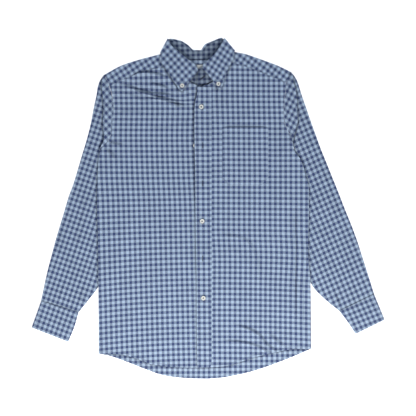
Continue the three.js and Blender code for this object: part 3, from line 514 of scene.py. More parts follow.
def hidden_button_lift(y):
    """How much the overlap rises over the buttons that lie under it."""
    lifts = [1 - fade(np.abs(y - by), 16, 46) for _, _, by, done in FRONT_BUTTONS if not done]
    return HIDDEN_BUTTON_LIFT * np.max(lifts, axis=0)


def right_front_level(x, y):
    """Lower face of the right front, calm where the other one lies over it."""
    calm = 1 - fade(x, CALM_FROM, CALM_TO)
    relief = crease_height(x, y, RIGHT_FRONT_CREASES) + swell(x, y, 11) + RELIEF_BASE
    pressed = crease_height(x, y, RIGHT_PRESSED)
    return back_level(x, y) + FRONT_LEVEL + np.maximum(calm * relief + pressed, DEEPEST_TROUGH)


def left_front_level(x, y):
    """The left front lies beside the right one, and over its edge and its buttons at the overlap."""
    ramp_from = RIGHT_FRONT_EDGE_X + 3
    on_right = 1 - fade(x, ramp_from, ramp_from + OVERLAP_RAMP)
    relief = crease_height(x, y, LEFT_FRONT_CREASES) + swell(x, y, 21) + RELIEF_BASE
    relief = relief + crease_height(x, y, LEFT_PRESSED)
    beside = back_level(x, y) + FRONT_LEVEL + np.maximum(relief, DEEPEST_TROUGH)
    over = OVERLAP_LEVEL + hidden_button_lift(y) + 0.25 * (1 + ripple(x * 0.4, y, 60, 31))
    return blend(beside, over, on_right)


# The grain of each piece

def grain(x0, y0, warp_turn, weft_turn=None, warp=13.1, weft=13.45, bow=0.0, bow_x=0.0, sway=None):
    """Cloth coordinates, in repeats, for checks turned anticlockwise by so many degrees.
    A dark stripe of each direction crosses at x0, y0, bow bends the weft rows, and
    sway is a table (y, x) of how far the columns wander sideways."""
    tu = math.radians(warp_turn)
    tv = math.radians(warp_turn if weft_turn is None else weft_turn)
    wander = table_curve(sway) if sway else None

    def coordinates(x, y):
        dx, dy = x - x0, y - y0
        if wander:
            dx = dx - wander(y)
        u = (dx * math.cos(tu) + dy * math.sin(tu)) / warp
        v = (-dx * math.sin(tv) + dy * math.cos(tv)) / weft
        settled = np.clip((60 - y) / 250, -0.15, 1)
        return u, v + bow * settled * (x - bow_x) ** 2 / weft

    return coordinates


# Sideways wander of the fronts' columns, (y, millimetres)
RIGHT_SWAY = (
    (-330, -1.0), (-235, -0.3), (-155, 0), (-75, 0.4), (5, 0.4), (85, -1.7), (165, -2.3), (245, 1.6),
)
LEFT_SWAY = (
    (-290, -0.4), (-210, 0.5), (-130, 1.6), (-50, -0.7), (30, 0), (110, 0.6), (190, 1), (270, -0.6),
)
FRONT_WEFT = 13.33
EVEN_RIGHT_FRONT_GRAIN = grain(
    -83.7, 34.5, 1.6, 0.4, warp=12.8, weft=FRONT_WEFT, bow=0.0002, bow_x=-8, sway=RIGHT_SWAY,
)


def right_front_grain(x, y):
    """The right front's checks, whose rows crowd together where creases take up cloth."""
    u, v = EVEN_RIGHT_FRONT_GRAIN(x, y)
    for points, amount in TAKEN_UP:
        line = np.array(points, float)
        first_x, last_x = line[0, 0], line[-1, 0]
        middle = np.interp(x, line[:, 0], line[:, 1])
        ends = fade(x, first_x, first_x + 60) * (1 - 0.4 * fade(x, last_x - 40, last_x))
        crowded = fade(y, middle - 7, middle + 7) - fade(y, middle + 12, middle + 70)
        v = v + amount / FRONT_WEFT * ends * crowded
    return u, v


EVEN_LEFT_FRONT_GRAIN = grain(
    64.6, 25, 0.6, -0.4, warp=12.95, weft=13.34, bow=0.00014, bow_x=45, sway=LEFT_SWAY,
)


def left_front_grain(x, y):
    """The left front's checks, drawn together near the lower side seam."""
    u, v = EVEN_LEFT_FRONT_GRAIN(x, y)
    return u + 0.28 * fade(x, 90, 200) * fade(-y, 90, 210), v


PLACKET_GRAIN = grain(-12, 22.5, 0.6, -0.2, warp=12.95)
POCKET_GRAIN = grain(65.4, 26.5, 0.6, -0.4, warp=12.95, weft=13.4)
BACK_GRAIN = grain(3, -410.6, 0.5)
RIGHT_YOKE_GRAIN = grain(-177, 352, 33.5)
LEFT_YOKE_GRAIN = grain(129, 358.8, -34.5, -38)
BACK_YOKE_GRAIN = grain(-25, 345, 0)
RIGHT_SLEEVE_GRAIN = grain(-328.3, 18.3, -18.5, -19.3, warp=12.0)
LEFT_SLEEVE_GRAIN = grain(332.5, -17.1, 22.4, 26, warp=12.6)
RIGHT_CAP_GRAIN = grain(-253.8, 236.8, 39, 46)
LEFT_CAP_GRAIN = grain(209.8, 232.3, -27, -37, warp=12.4)
RIGHT_CUFF_GRAIN = grain(-382.7, -283.9, -19.3, -21.5, warp=12.3, weft=13.3)
LEFT_CUFF_GRAIN = grain(382.6, -268.4, 24.5, 22, warp=12.5, weft=13.3)
RIGHT_LEAF_GRAIN = grain(-73.4, 349.8, 41.5, 43.5, warp=13.2, weft=13.9)
LEFT_LEAF_GRAIN = grain(27.2, 354.3, -31.5, -36, warp=12.8, weft=13.4)
STAND_GRAIN = grain(-24, 382.5, 2, weft=12.3)


# Meshes

def grid_lines(length, step=CELL, fine=()):
    """Distances across a length, closer together beside both ends and in the fine stretches,
    which are shares of the length."""
    ends = np.array(EDGE_LINES)
    lines = [ends[-1]]
    while lines[-1] < length - ends[-1]:
        share = lines[-1] / length
        close = any(start < share < end for start, end in fine)
        lines.append(lines[-1] + (FINE_CELL if close else step))
    inner = np.array(lines)
    inner = ends[-1] + (inner - ends[-1]) * (length - 2 * ends[-1]) / (inner[-1] - ends[-1])
    return np.concatenate([ends, inner[1:-1], length - ends[::-1]])


def piece_object(name, points, cloth, ring=False, thickness=CLOTH, material=None, sides_out=True):
    """A thin closed shell about a grid of points, with its cloth coordinates."""
    rows, columns = points.shape[:2]
    wrap = columns if ring else columns - 1
    i, j = np.meshgrid(np.arange(rows - 1), np.arange(wrap), indexing="ij")
    nxt = (j + 1) % columns
    near, far = i * columns, (i + 1) * columns
    quads = np.stack([near + j, near + nxt, far + nxt, far + j], -1).reshape(-1, 4)
    if not sides_out:
        quads = quads[:, ::-1]
    mesh = bpy.data.meshes.new(name)
    mesh.from_pydata((points.reshape(-1, 3) * MM).tolist(), [], quads.tolist())
    layer = mesh.uv_layers.new(name="cloth")
    uv = cloth.reshape(-1, 2) * REPEAT * MM
    corners = np.empty(len(mesh.loops), int)
    mesh.loops.foreach_get("vertex_index", corners)
    layer.data.foreach_set("uv", uv[corners].ravel())
    piece = bpy.data.objects.new(name, mesh)
    bpy.context.scene.collection.objects.link(piece)
    shell = piece.modifiers.new("shell", "SOLIDIFY")
    shell.thickness = thickness * MM
    shell.offset = 0
    shell.use_even_offset = False
    apply_modifiers(piece)
    piece.data.polygons.foreach_set("use_smooth", [True] * len(piece.data.polygons))
    sharpen(piece.data)
    if material:
        piece.data.materials.append(material)
    return piece


def apply_modifiers(piece):
    """Gives a piece the mesh that its modifiers make, and removes them."""
    depsgraph = bpy.context.evaluated_depsgraph_get()
    made = bpy.data.meshes.new_from_object(piece.evaluated_get(depsgraph))
    old = piece.data
    piece.modifiers.clear()
    piece.data = made
    bpy.data.meshes.remove(old)


def sharpen(mesh, degrees=48):
    """Marks the shell's rims as sharp edges, so its faces stay smooth and its rims crisp."""
    bm = bmesh.new()
    bm.from_mesh(mesh)
    for edge in bm.edges:
        if len(edge.link_faces) == 2:
            edge.smooth = edge.calc_face_angle(0) < math.radians(degrees)
    bm.to_mesh(mesh)
    bm.free()


def declare(piece, node):
    """Hides the part that a cloth piece replaces, and attaches the piece to the root."""
    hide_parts(node)
    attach(piece, "root")


def turned_edge(distance, width=6.0, height=0.8):
    """Extra height of a hem or stitched edge: the turned cloth, sunk along its stitch row."""
    plump = height * (1 - fade(distance, width, width + 1.2))
    sunk = 0.6 * np.exp(-(((distance - width + 0.6) / 0.9) ** 2))
    rim = 0.25 * np.exp(-distance / 0.6)
    return plump - sunk - rim


def seam_dip(distance, depth=0.25):
    """How much a panel is pulled down beside a seam."""
    return depth * np.exp(-distance / 1.5)


def panel(start_x, end_x, corners, hem, top, fine_rows=(), fine_columns=()):
    """x, y, and the distances to the start, end, hem and top edges, over a panel's grid."""
    start_low, start_high, end_low, end_high = corners
    tall = max(start_high - start_low, end_high - end_low)
    wide = float(end_x(np.array(0.0)) - start_x(np.array(0.0)))
    up = (grid_lines(tall, CELL, fine_rows) / tall)[:, None]
    share = (grid_lines(wide, CELL, fine_columns) / wide)[None, :]

    def bend(curve, from_y, to_y):
        """How far the hem or top stands from a straight line between its corners."""
        from_x = float(start_x(np.array(float(from_y))))
        to_x = float(end_x(np.array(float(to_y))))
        return curve(blend(from_x, to_x, share)) - blend(from_y, to_y, share)

    start_y = blend(start_low, start_high, up)
    end_y = blend(end_low, end_high, up)
    xs, xe = start_x(start_y), end_x(end_y)
    x = blend(xs, xe, share)
    low = bend(hem, start_low, end_low)
    high = bend(top, start_high, end_high)
    y = blend(start_y, end_y, share) + low * (1 - up) + high * up
    span = xe - xs
    tall_here = np.abs(y[-1] - y[0])[None, :]
    return x, y, share * span, (1 - share) * span, up * tall_here, (1 - up) * tall_here


def cloth_at(grain_of, x, y):
    """The cloth coordinates of the places of a grid."""
    return np.stack(grain_of(x, y), -1)


def stack(x, y, z):
    return np.stack([x, y, z], -1)


def stack_pair(u, v):
    return np.stack([u, v], -1)


# Materials

def nodes_of(material):
    """The material's empty node tree."""
    material.use_nodes = True
    tree = material.node_tree
    tree.nodes.clear()
    return tree


def maths(tree, operation, a, b=None, c=None, clamp=False):
    """A Math node's result; each value may be a number or another node's output."""
    node = tree.nodes.new("ShaderNodeMath")
    node.operation = operation
    node.use_clamp = clamp
    for socket, value in zip(node.inputs, (a, b, c)):
        if value is None:
            continue
        if isinstance(value, bpy.types.NodeSocket):
            tree.links.new(value, socket)
        else:
            socket.default_value = value
    return node.outputs[0]


def mix_colours(tree, factor, a, b, mode="MIX"):
    node = tree.nodes.new("ShaderNodeMix")
    node.data_type = "RGBA"
    node.blend_type = mode
    for socket, value in ((node.inputs[0], factor), (node.inputs[6], a), (node.inputs[7], b)):
        if isinstance(value, bpy.types.NodeSocket):
            tree.links.new(value, socket)
        else:
            socket.default_value = value
    return node.outputs[2]


def noise(tree, vector, scale, detail=2.0, roughness=0.5):
    node = tree.nodes.new("ShaderNodeTexNoise")
    node.inputs["Scale"].default_value = scale
    node.inputs["Detail"].default_value = detail
    node.inputs["Roughness"].default_value = roughness
    tree.links.new(vector, node.inputs["Vector"])
    return node.outputs["Fac"]


def surface_shader(tree, colour, roughness, height=None, bump=0.3, bump_distance=0.0003):
    shader = tree.nodes.new("ShaderNodeBsdfPrincipled")
    output = tree.nodes.new("ShaderNodeOutputMaterial")
    tree.links.new(shader.outputs[0], output.inputs[0])
    if isinstance(colour, bpy.types.NodeSocket):
        tree.links.new(colour, shader.inputs["Base Color"])
    else:
        shader.inputs["Base Color"].default_value = colour
    if isinstance(roughness, bpy.types.NodeSocket):
        tree.links.new(roughness, shader.inputs["Roughness"])
    else:
        shader.inputs["Roughness"].default_value = roughness
    if height is not None:
        node = tree.nodes.new("ShaderNodeBump")
        node.inputs["Strength"].default_value = bump
        node.inputs["Distance"].default_value = bump_distance
        tree.links.new(height, node.inputs["Height"])
        tree.links.new(node.outputs[0], shader.inputs["Normal"])
    return shader


def stripe(tree, along):
    """1 on the coloured half of each repeat, 0 on the pale half, with soft yarn edges."""
    folded = maths(tree, "PINGPONG", along, 0.5)
    node = tree.nodes.new("ShaderNodeMapRange")
    node.interpolation_type = "SMOOTHSTEP"
    node.inputs["From Min"].default_value = 0.25 - STRIPE_BLUR
    node.inputs["From Max"].default_value = 0.25 + STRIPE_BLUR
    node.inputs["To Min"].default_value = 1
    node.inputs["To Max"].default_value = 0
    tree.links.new(folded, node.inputs["Value"])
    return node.outputs[0]


def flannel_material(name, shade=1.0):
    """Yarn-dyed gingham: pale and navy stripes both ways, twill mixture where they cross, brushed nap, with
    painted shade darkening its colour in crevices and by the shade factor.
    """
    material = bpy.data.materials.new(name)
    tree = nodes_of(material)
    uv = tree.nodes.new("ShaderNodeUVMap")
    uv.uv_map = "cloth"
    split = tree.nodes.new("ShaderNodeSeparateXYZ")
    tree.links.new(uv.outputs[0], split.inputs[0])
    repeats = 1 / (REPEAT * MM)
    # The yarns waver a little, so the stripes do
    waver = noise(tree, uv.outputs[0], 130, 1)
    shift = maths(tree, "MULTIPLY_ADD", waver, YARN_WAVER, -YARN_WAVER / 2)
    across = maths(tree, "MULTIPLY_ADD", split.outputs[0], repeats, shift)
    along = maths(tree, "MULTIPLY_ADD", split.outputs[1], repeats, shift)
    warp_navy = stripe(tree, across)
    weft_navy = stripe(tree, along)
    # Twill: which yarn shows is a fine diagonal
    warp_phase = maths(tree, "MULTIPLY", across, THREADS_PER_REPEAT)
    weft_phase = maths(tree, "MULTIPLY", along, THREADS_PER_REPEAT)
    diagonal = maths(tree, "ADD", warp_phase, weft_phase)
    twill = maths(tree, "PINGPONG", diagonal, 1.0)
    fuzz = noise(tree, uv.outputs[0], 2600, 2, 0.7)
    show_warp = maths(tree, "MULTIPLY_ADD", maths(tree, "SUBTRACT", twill, 0.5), 0.55, 0.5)
    show_warp = maths(tree, "MULTIPLY_ADD", maths(tree, "SUBTRACT", fuzz, 0.5), 0.5, show_warp, clamp=True)
    navy = maths(tree, "ADD", maths(tree, "MULTIPLY", warp_navy, show_warp),
                 maths(tree, "MULTIPLY", weft_navy, maths(tree, "SUBTRACT", 1.0, show_warp)))
    # The navy yarn covers more where the two cross
    navy = maths(tree, "POWER", navy, 0.82)
    colour = mix_colours(tree, navy, PALE_YARN, NAVY_YARN)
    # Nap: pale fibres raised over everything, more in patches
    patches = noise(tree, uv.outputs[0], 90, 3, 0.6)
    nap = maths(tree, "MULTIPLY_ADD", patches, 0.10, 0.02)
    colour = mix_colours(tree, nap, colour, NAP_FIBRES)
    # Wear in patches, and painted shade: the colour darkened in the crevices between layers and, by the shade
    # factor, all over
    wear_and_painted_shade = maths(tree, "MULTIPLY_ADD", noise(tree, uv.outputs[0], 22, 3), 0.22, 0.89 * shade)
    # An ambient-occlusion node paints shade into the colour where layers lie close
    painted_crevice_shade = tree.nodes.new("ShaderNodeAmbientOcclusion")
    painted_crevice_shade.samples = 8
    painted_crevice_shade.inputs["Distance"].default_value = PAINTED_SHADE_DEPTH * MM
    wear_and_painted_shade = maths(tree, "MULTIPLY", wear_and_painted_shade, maths(tree, "POWER", painted_crevice_shade.outputs["AO"], 1.5))
    dimmed = tree.nodes.new("ShaderNodeCombineXYZ")
    for k in range(3):
        tree.links.new(wear_and_painted_shade, dimmed.inputs[k])
    colour = mix_colours(tree, 1.0, colour, dimmed.outputs[0], "MULTIPLY")
    height = maths(tree, "ADD", maths(tree, "MULTIPLY", twill, 0.35), maths(tree, "MULTIPLY", fuzz, 0.9))
    rough = maths(tree, "MULTIPLY_ADD", patches, 0.12, 0.82)
    shader = surface_shader(tree, colour, rough, height, 0.35, 0.0004)
    shader.inputs["Specular IOR Level"].default_value = 0.2
    shader.inputs["Sheen Weight"].default_value = 0.22
    shader.inputs["Sheen Roughness"].default_value = 0.55
    shader.inputs["Sheen Tint"].default_value = (0.75, 0.84, 1.0, 1)
    return material


def yarn_material(name, colour):
    """Sewing thread: a little twist along it and a faint shine."""
    material = bpy.data.materials.new(name)
    tree = nodes_of(material)
    place = tree.nodes.new("ShaderNodeTexCoord")
    twist = noise(tree, place.outputs["Object"], 1800, 2)
    lighter = tuple(min(1, c * 1.6) for c in colour[:3]) + (1,)
    shade = mix_colours(tree, twist, colour, lighter)
    surface_shader(tree, shade, 0.6, twist, 0.4, 0.0001)
    return material


def button_material():
    """Cream resin with a faint cloud and a soft shine."""
    material = bpy.data.materials.new("button_resin")
    tree = nodes_of(material)
    place = tree.nodes.new("ShaderNodeTexCoord")
    cloud = noise(tree, place.outputs["Object"], 420, 3, 0.6)
    warmer = (0.92, 0.90, 0.80, 1)
    colour = mix_colours(tree, maths(tree, "MULTIPLY", cloud, 0.5), BUTTON_CREAM, warmer)
    rough = maths(tree, "MULTIPLY_ADD", cloud, 0.15, 0.24)
    shader = surface_shader(tree, colour, rough, cloud, 0.05, 0.0002)
    shader.inputs["Coat Weight"].default_value = 0.35
    shader.inputs["Coat Roughness"].default_value = 0.2
    shader.inputs["Subsurface Weight"].default_value = 0.08
    shader.inputs["Subsurface Radius"].default_value = (0.001, 0.0008, 0.0005)
    return material


def label_material():
    """A smooth pale weave with fine ribs."""
    material = bpy.data.materials.new("label_weave")
    tree = nodes_of(material)
    uv = tree.nodes.new("ShaderNodeUVMap")
    uv.uv_map = "cloth"
    split = tree.nodes.new("ShaderNodeSeparateXYZ")
    tree.links.new(uv.outputs[0], split.inputs[0])
    ribs = maths(tree, "PINGPONG", maths(tree, "MULTIPLY", split.outputs[1], 3200), 1.0)
    grainy = noise(tree, uv.outputs[0], 1500, 2)
    tint = maths(tree, "ADD", maths(tree, "MULTIPLY", ribs, 0.25), maths(tree, "MULTIPLY", grainy, 0.3))
    colour = mix_colours(tree, tint, LABEL_CREAM, (0.50, 0.53, 0.54, 1))
    surface_shader(tree, colour, 0.55, ribs, 0.3, 0.0002)
    return material


def floor_material():
    material = bpy.data.materials.new("pale_floor")
    tree = nodes_of(material)
    place = tree.nodes.new("ShaderNodeTexCoord")
    grainy = noise(tree, place.outputs["Object"], 6, 2)
    colour = mix_colours(tree, maths(tree, "MULTIPLY", grainy, 0.04), FLOOR_WHITE, (0.88, 0.88, 0.88, 1))
    shader = surface_shader(tree, colour, 0.8)
    shader.inputs["Emission Color"].default_value = (1, 1, 1, 1)
    shader.inputs["Emission Strength"].default_value = 0.8
    return material


flannel = flannel_material("flannel_gingham")
# The neckband's copy is darkened all over as painted shade, for the shade in the neck and under the collar's
# leaves
neckband_painted_shade_flannel = flannel_material("flannel_gingham_neckband_painted_shade", 0.56)
# The copy for the sleeves, cuffs and collar fall is darkened a little all over as painted shade
painted_shade_flannel = flannel_material("flannel_gingham_painted_shade", 0.95)
thread_blue = yarn_material("sewing_thread", THREAD_BLUE)
thread_pale = yarn_material("fine_thread", THREAD_PALE)
thread_navy = yarn_material("button_thread", THREAD_NAVY)
resin = button_material()


# Body panels

def straight(value):
    """A straight edge, as a curve that gives the same place everywhere."""
    return lambda at: np.full(np.shape(at), float(value))


# Rows of stitches: (points on the cloth's upper face, whether the thread is fine)
SEWING = []


def inset_line(points, side, inset):
    """The line a distance inside one side of a grid of points."""
    if side in ("end", "top"):
        points = points[:, ::-1] if side == "end" else points[::-1]
    if side in ("low", "top"):
        points = points.transpose(1, 0, 2)
    steps = np.linalg.norm(np.diff(points, axis=1), axis=2)
    along = np.concatenate([np.zeros((len(points), 1)), np.cumsum(steps, axis=1)], axis=1)
    line = np.empty((len(points), 3))
    for k in range(len(points)):
        for c in range(3):
            line[k, c] = np.interp(inset, along[k], points[k, :, c])
    return line


def sew(points, side, inset, lift=CLOTH / 2, start=0.0, end=1.0, fine=False):
    """A row of stitches inside one side of a piece, from a share of its length to another."""
    line = inset_line(points, side, inset)
    first, last = int(start * (len(line) - 1)), int(end * (len(line) - 1)) + 1
    SEWING.append((line[first:last] + np.array([0, 0, lift]), fine))


def make_back():
    corners = (-364, BACK_SEAM_Y, -351.8, BACK_SEAM_Y)
    top = straight(BACK_SEAM_Y)
    x, y, _, _, low, _ = panel(right_edge_x, left_edge_x, corners, table_curve(BACK_HEM), top)
    on_table = 1 - fade(back_level(x, y), 0.0, 0.4)
    relief = np.maximum(crease_height(x, y, BACK_CREASES), 0) * on_table
    z = back_level(x, y) + CLOTH / 2 + turned_edge(low) * 0.5 + 0.12 + relief
    points = stack(x, y, z)
    piece = piece_object("back_panel", points, cloth_at(BACK_GRAIN, x, y), material=flannel)
    declare(piece, "back")
    sew(points, "low", HEM_INSET)


def make_right_front():
    top = table_curve(RIGHT_YOKE_SEAM + RIGHT_NECKLINE[1:])
    corners = (-364, 303.8 - SEAM_GAP, -397.5, 305 - SEAM_GAP)
    x, y, _, _, low, high = panel(
        right_edge_x, straight(RIGHT_FRONT_EDGE_X), corners, table_curve(FRONT_HEM),
        lambda at: top(at) - SEAM_GAP, fine_rows=((0.84, 1.0),), fine_columns=((0.82, 0.88),),
    )
    z = right_front_level(x, y) + CLOTH / 2 + turned_edge(low) - seam_dip(high)
    points = stack(x, y, z)
    piece = piece_object("front_right_panel", points, cloth_at(right_front_grain, x, y), material=flannel)
    declare(piece, "front_right")
    sew(points, "low", HEM_INSET)


def make_left_front():
    top = table_curve(LEFT_NECKLINE + LEFT_YOKE_SEAM[1:])
    corners = (-398.5, 303 - SEAM_GAP, -351.8, 314 - SEAM_GAP)
    x, y, _, _, low, high = panel(
        placket_edge_x, left_edge_x, corners, table_curve(FRONT_HEM), lambda at: top(at) - SEAM_GAP,
        fine_rows=((0.0, 0.13),), fine_columns=((0.84, 0.96),),
    )
    z = left_front_level(x, y) + CLOTH / 2 + turned_edge(low) - seam_dip(high)
    points = stack(x, y, z)
    piece = piece_object("front_left_panel", points, cloth_at(left_front_grain, x, y), material=flannel)
    declare(piece, "front_left")
    sew(points, "low", HEM_INSET)


def placket_level(x, y):
    """Middle of the cloth that lies on the left front."""
    return left_front_level(x, y) + 1.5 * CLOTH + TOPPING_GAP


def stitch_dent(distance, inset, spread):
    """The dent that a row of stitches makes at an inset from an edge."""
    return np.exp(-(((distance - inset) / spread) ** 2))


def make_placket():
    """The buttonhole strip along the left front's edge."""
    low_y, high_y = -397.5, 302
    up = (grid_lines(high_y - low_y) / (high_y - low_y))[:, None]
    share = (grid_lines(PLACKET_WIDTH) / PLACKET_WIDTH)[None, :]
    y = blend(low_y, high_y, up) + 0 * share
    x = blend(placket_edge_x(y) + SEAM_GAP, PLACKET_INNER_X, share)
    outer = share * PLACKET_WIDTH
    inner = PLACKET_WIDTH - outer
    # The outer edge curls up by the neck and along the middle of the hem half
    curl = 3.0 * np.exp(-outer / 7) * fade(y, 240, 285) + 1.5 * np.exp(-outer / 6) * fade(y, -160, 100)
    rows = 0.16 * ripple(x * 2, y, 26, 41)
    dents = 0.3 * (stitch_dent(outer, PLACKET_INSET, 0.9) + stitch_dent(inner, PLACKET_INSET, 0.9))
    rims = 0.3 * np.exp(-outer / 0.7) + 1.2 * np.exp(-inner / 2.8)
    points = stack(x, y, placket_level(x, y) + curl + rows - dents - rims)
    piece = piece_object(
        "placket_strip", points, cloth_at(PLACKET_GRAIN, x, y), material=flannel, thickness=PLACKET_CLOTH,
    )
    declare(piece, "placket")
    for side in ("start", "end"):
        sew(points, side, PLACKET_INSET, lift=0.6)


def make_pocket():
    """A patch pocket, whose mouth stands open a little."""
    wide, tall = POCKET_RIGHT - POCKET_LEFT, POCKET_TOP - POCKET_BOTTOM
    up = (grid_lines(tall) / tall)[:, None]
    share = (grid_lines(wide) / wide)[None, :]
    to_side = np.minimum(share, 1 - share) * wide + 0 * up
    # The lower corners are cut off at a slant
    rise = np.maximum(0, POCKET_CUT - to_side) * (1 - up)
    x = blend(POCKET_LEFT, POCKET_RIGHT, share) + 0 * up
    y = blend(POCKET_BOTTOM, POCKET_TOP, up) + rise
    to_edge = np.minimum(to_side, up * tall)
    to_top = (1 - up) * tall
    dents = 0.12 * stitch_dent(to_edge, PATCH_INSET, math.sqrt(0.8))
    mouth = 1.7 * np.exp(-to_top / 9) * fade(to_side, 2, 20)
    points = stack(x, y, placket_level(x, y) - dents + mouth - 0.9 * np.exp(-to_edge / 2.6))
    piece = piece_object("chest_pocket", points, cloth_at(POCKET_GRAIN, x, y), material=flannel)
    declare(piece, "pocket")
    for side in ("start", "end", "low"):
        sew(points, side, PATCH_INSET, fine=True)
    sew(points, "top", MOUTH_INSET, fine=True)


def yoke_side(name, shoulder, seam, grain_of, sides_out):
    """One shoulder of the yoke, from the back seam over the shoulder fold to the front seam."""
    radius = FRONT_LEVEL / 2
    back_share = np.linspace(0, 1, 24)
    turn = np.linspace(-math.pi / 2, math.pi / 2, 9)[1:-1]
    front_wide = 30
    front_share = grid_lines(front_wide, 3.2) / front_wide
    columns = np.linspace(0, 1, 42)[:, None]
    fold_x = blend(shoulder[0][0], shoulder[-1][0], columns)
    fold_y = table_curve(shoulder)(fold_x)
    seam_x = blend(seam[0][0], seam[-1][0], columns)
    seam_y = table_curve(seam)(seam_x)
    low_x = np.clip(fold_x, right_edge_x(BACK_SEAM_Y), left_edge_x(BACK_SEAM_Y))
    back_y = blend(BACK_SEAM_Y + 0.5, fold_y - radius, back_share)
    back_x = np.clip(blend(low_x, fold_x, back_share), right_edge_x(back_y), left_edge_x(back_y))
    back_z = back_level(back_x, back_y) + CLOTH / 2
    turn_x = fold_x + 0 * turn
    turn_y = fold_y - radius + radius * np.cos(turn)
    turn_z = back_level(fold_x, fold_y) + CLOTH / 2 + radius + radius * np.sin(turn)
    front_x = blend(fold_x, seam_x, front_share)
    front_y = blend(fold_y - radius, seam_y + 0.3, front_share)
    to_seam = (1 - front_share) * front_wide
    plump = 0.25 * np.exp(-(((to_seam - 4) / 3.5) ** 2))
    front_z = back_level(front_x, front_y) + FRONT_LEVEL + CLOTH / 2 - seam_dip(to_seam, 0.22) + plump
    x = np.concatenate([back_x, turn_x, front_x], axis=1)
    y = np.concatenate([back_y, turn_y, front_y], axis=1)
    z = np.concatenate([back_z, turn_z, front_z], axis=1)
    points = stack(x, y, z)
    sew(points, "end", PATCH_INSET)
    return piece_object(name, points, cloth_at(grain_of, x, y), material=flannel, sides_out=sides_out)


def yoke_middle():
    """The stretch of the yoke below the back of the neck."""
    neck_x = np.linspace(BACK_NECK[0][0], BACK_NECK[-1][0], 40)[:, None]
    neck_y = table_curve(BACK_NECK)(neck_x)
    share = np.linspace(0, 1, 24)[None, :]
    x = neck_x + 0 * share
    y = blend(BACK_SEAM_Y + 0.5, neck_y - FRONT_LEVEL / 2, share)
    points = stack(x, y, back_level(x, y) + CLOTH / 2)
    return piece_object("yoke_middle", points, cloth_at(BACK_YOKE_GRAIN, x, y), material=flannel)


def make_yoke():
    right = yoke_side("yoke_right", RIGHT_SHOULDER, RIGHT_YOKE_SEAM, RIGHT_YOKE_GRAIN, False)
    left = yoke_side("yoke_left", LEFT_SHOULDER, LEFT_YOKE_SEAM, LEFT_YOKE_GRAIN, True)
    joined = join([right, left, yoke_middle()], "yoke_panel")
    declare(joined, "yoke")


def join(pieces, name):
    """One object from several, without operators."""
    bm = bmesh.new()
    for piece in pieces:
        bm.from_mesh(piece.data)
    mesh = bpy.data.meshes.new(name)
    bm.to_mesh(mesh)
    bm.free()
    mesh.materials.append(pieces[0].data.materials[0])
    made = bpy.data.objects.new(name, mesh)
    bpy.context.scene.collection.objects.link(made)
    for piece in pieces:
        bpy.data.objects.remove(piece)
    return made


# Sleeves and cuffs

SLEEVE_ACROSS = 34 * CELL
SLEEVE_SHARES = grid_lines(SLEEVE_ACROSS) / SLEEVE_ACROSS


def ring_of(bottom, top, upper_line, lower_line):
    """A flattened tube's section: the upper wall, the outer fold, the lower wall and the inner fold.
    The lines give the places across, for the upper and the lower wall."""
    half = (top - bottom) / 2
    middle = (top + bottom) / 2
    places = upper_line(SLEEVE_SHARES)
    axis = (places[-1] - places[0]) / np.linalg.norm(places[-1] - places[0])
    squeeze = half * (1 - 2 * SLEEVE_SHARES)[:, None] * axis
    flat = places + squeeze
    upper = np.column_stack([flat, np.full(len(flat), top)])
    lower = np.column_stack([lower_line(SLEEVE_SHARES) + squeeze, np.full(len(flat), bottom)])[::-1]
    turn = np.linspace(math.pi / 2, -math.pi / 2, 7)[1:-1, None]
    out, up = half * np.cos(turn), half * np.sin(turn)
    outer_fold = np.column_stack([flat[-1] + axis * out, middle + up])
    inner_fold = np.column_stack([flat[0] - axis * out, middle - up])
    return np.concatenate([upper, outer_fold, lower, inner_fold])


def section_line(section):
    """The straight line across a sleeve at one of its sections."""
    inner_x, inner_y, outer_x, outer_y = section
    return lambda share: np.column_stack([blend(inner_x, outer_x, share), blend(inner_y, outer_y, share)])


def sleeve_rings(side, edge_x, armpit_y, shoulder_y, cap, sections):
    """Rings from the armhole seam over the strip's fold and down the sleeve to the cuff."""
    strip_width = table_curve(cap)

    def head_line(strip_share, further):
        """A line from armpit to shoulder, out from the seam by a share of the strip's width and further."""
        def line(share):
            y = blend(armpit_y, shoulder_y, share)
            wide = strip_width(share)
            shown = fade(wide, 2, 14) if further < 0 else fade(share, -0.02, 0.1)
            away = wide * strip_share + further * shown
            down = (1 - share) * np.minimum(away, 3) + 1.4 * max(further, 0) * share**6
            return np.column_stack([edge_x(y) + side * away, y - down])

        return line

    low, high = CLOTH / 2, SLEEVE_TOP - CLOTH / 2
    rings = []
    for strip_share, upper_further, lower_further, top in SLEEVE_HEAD:
        upper, lower = head_line(strip_share, upper_further), head_line(strip_share, lower_further)
        rings.append(ring_of(low, top, upper, lower))
    for section in sections:
        line = section_line(section)
        rings.append(ring_of(low, high, line, line))
    rings = np.array(rings)
    # At the armhole the walls meet the panels, which are raised beside the armpit
    seam = rings[0]
    seam[:, 2] += back_level(seam[:, 0], seam[:, 1])
    return rings


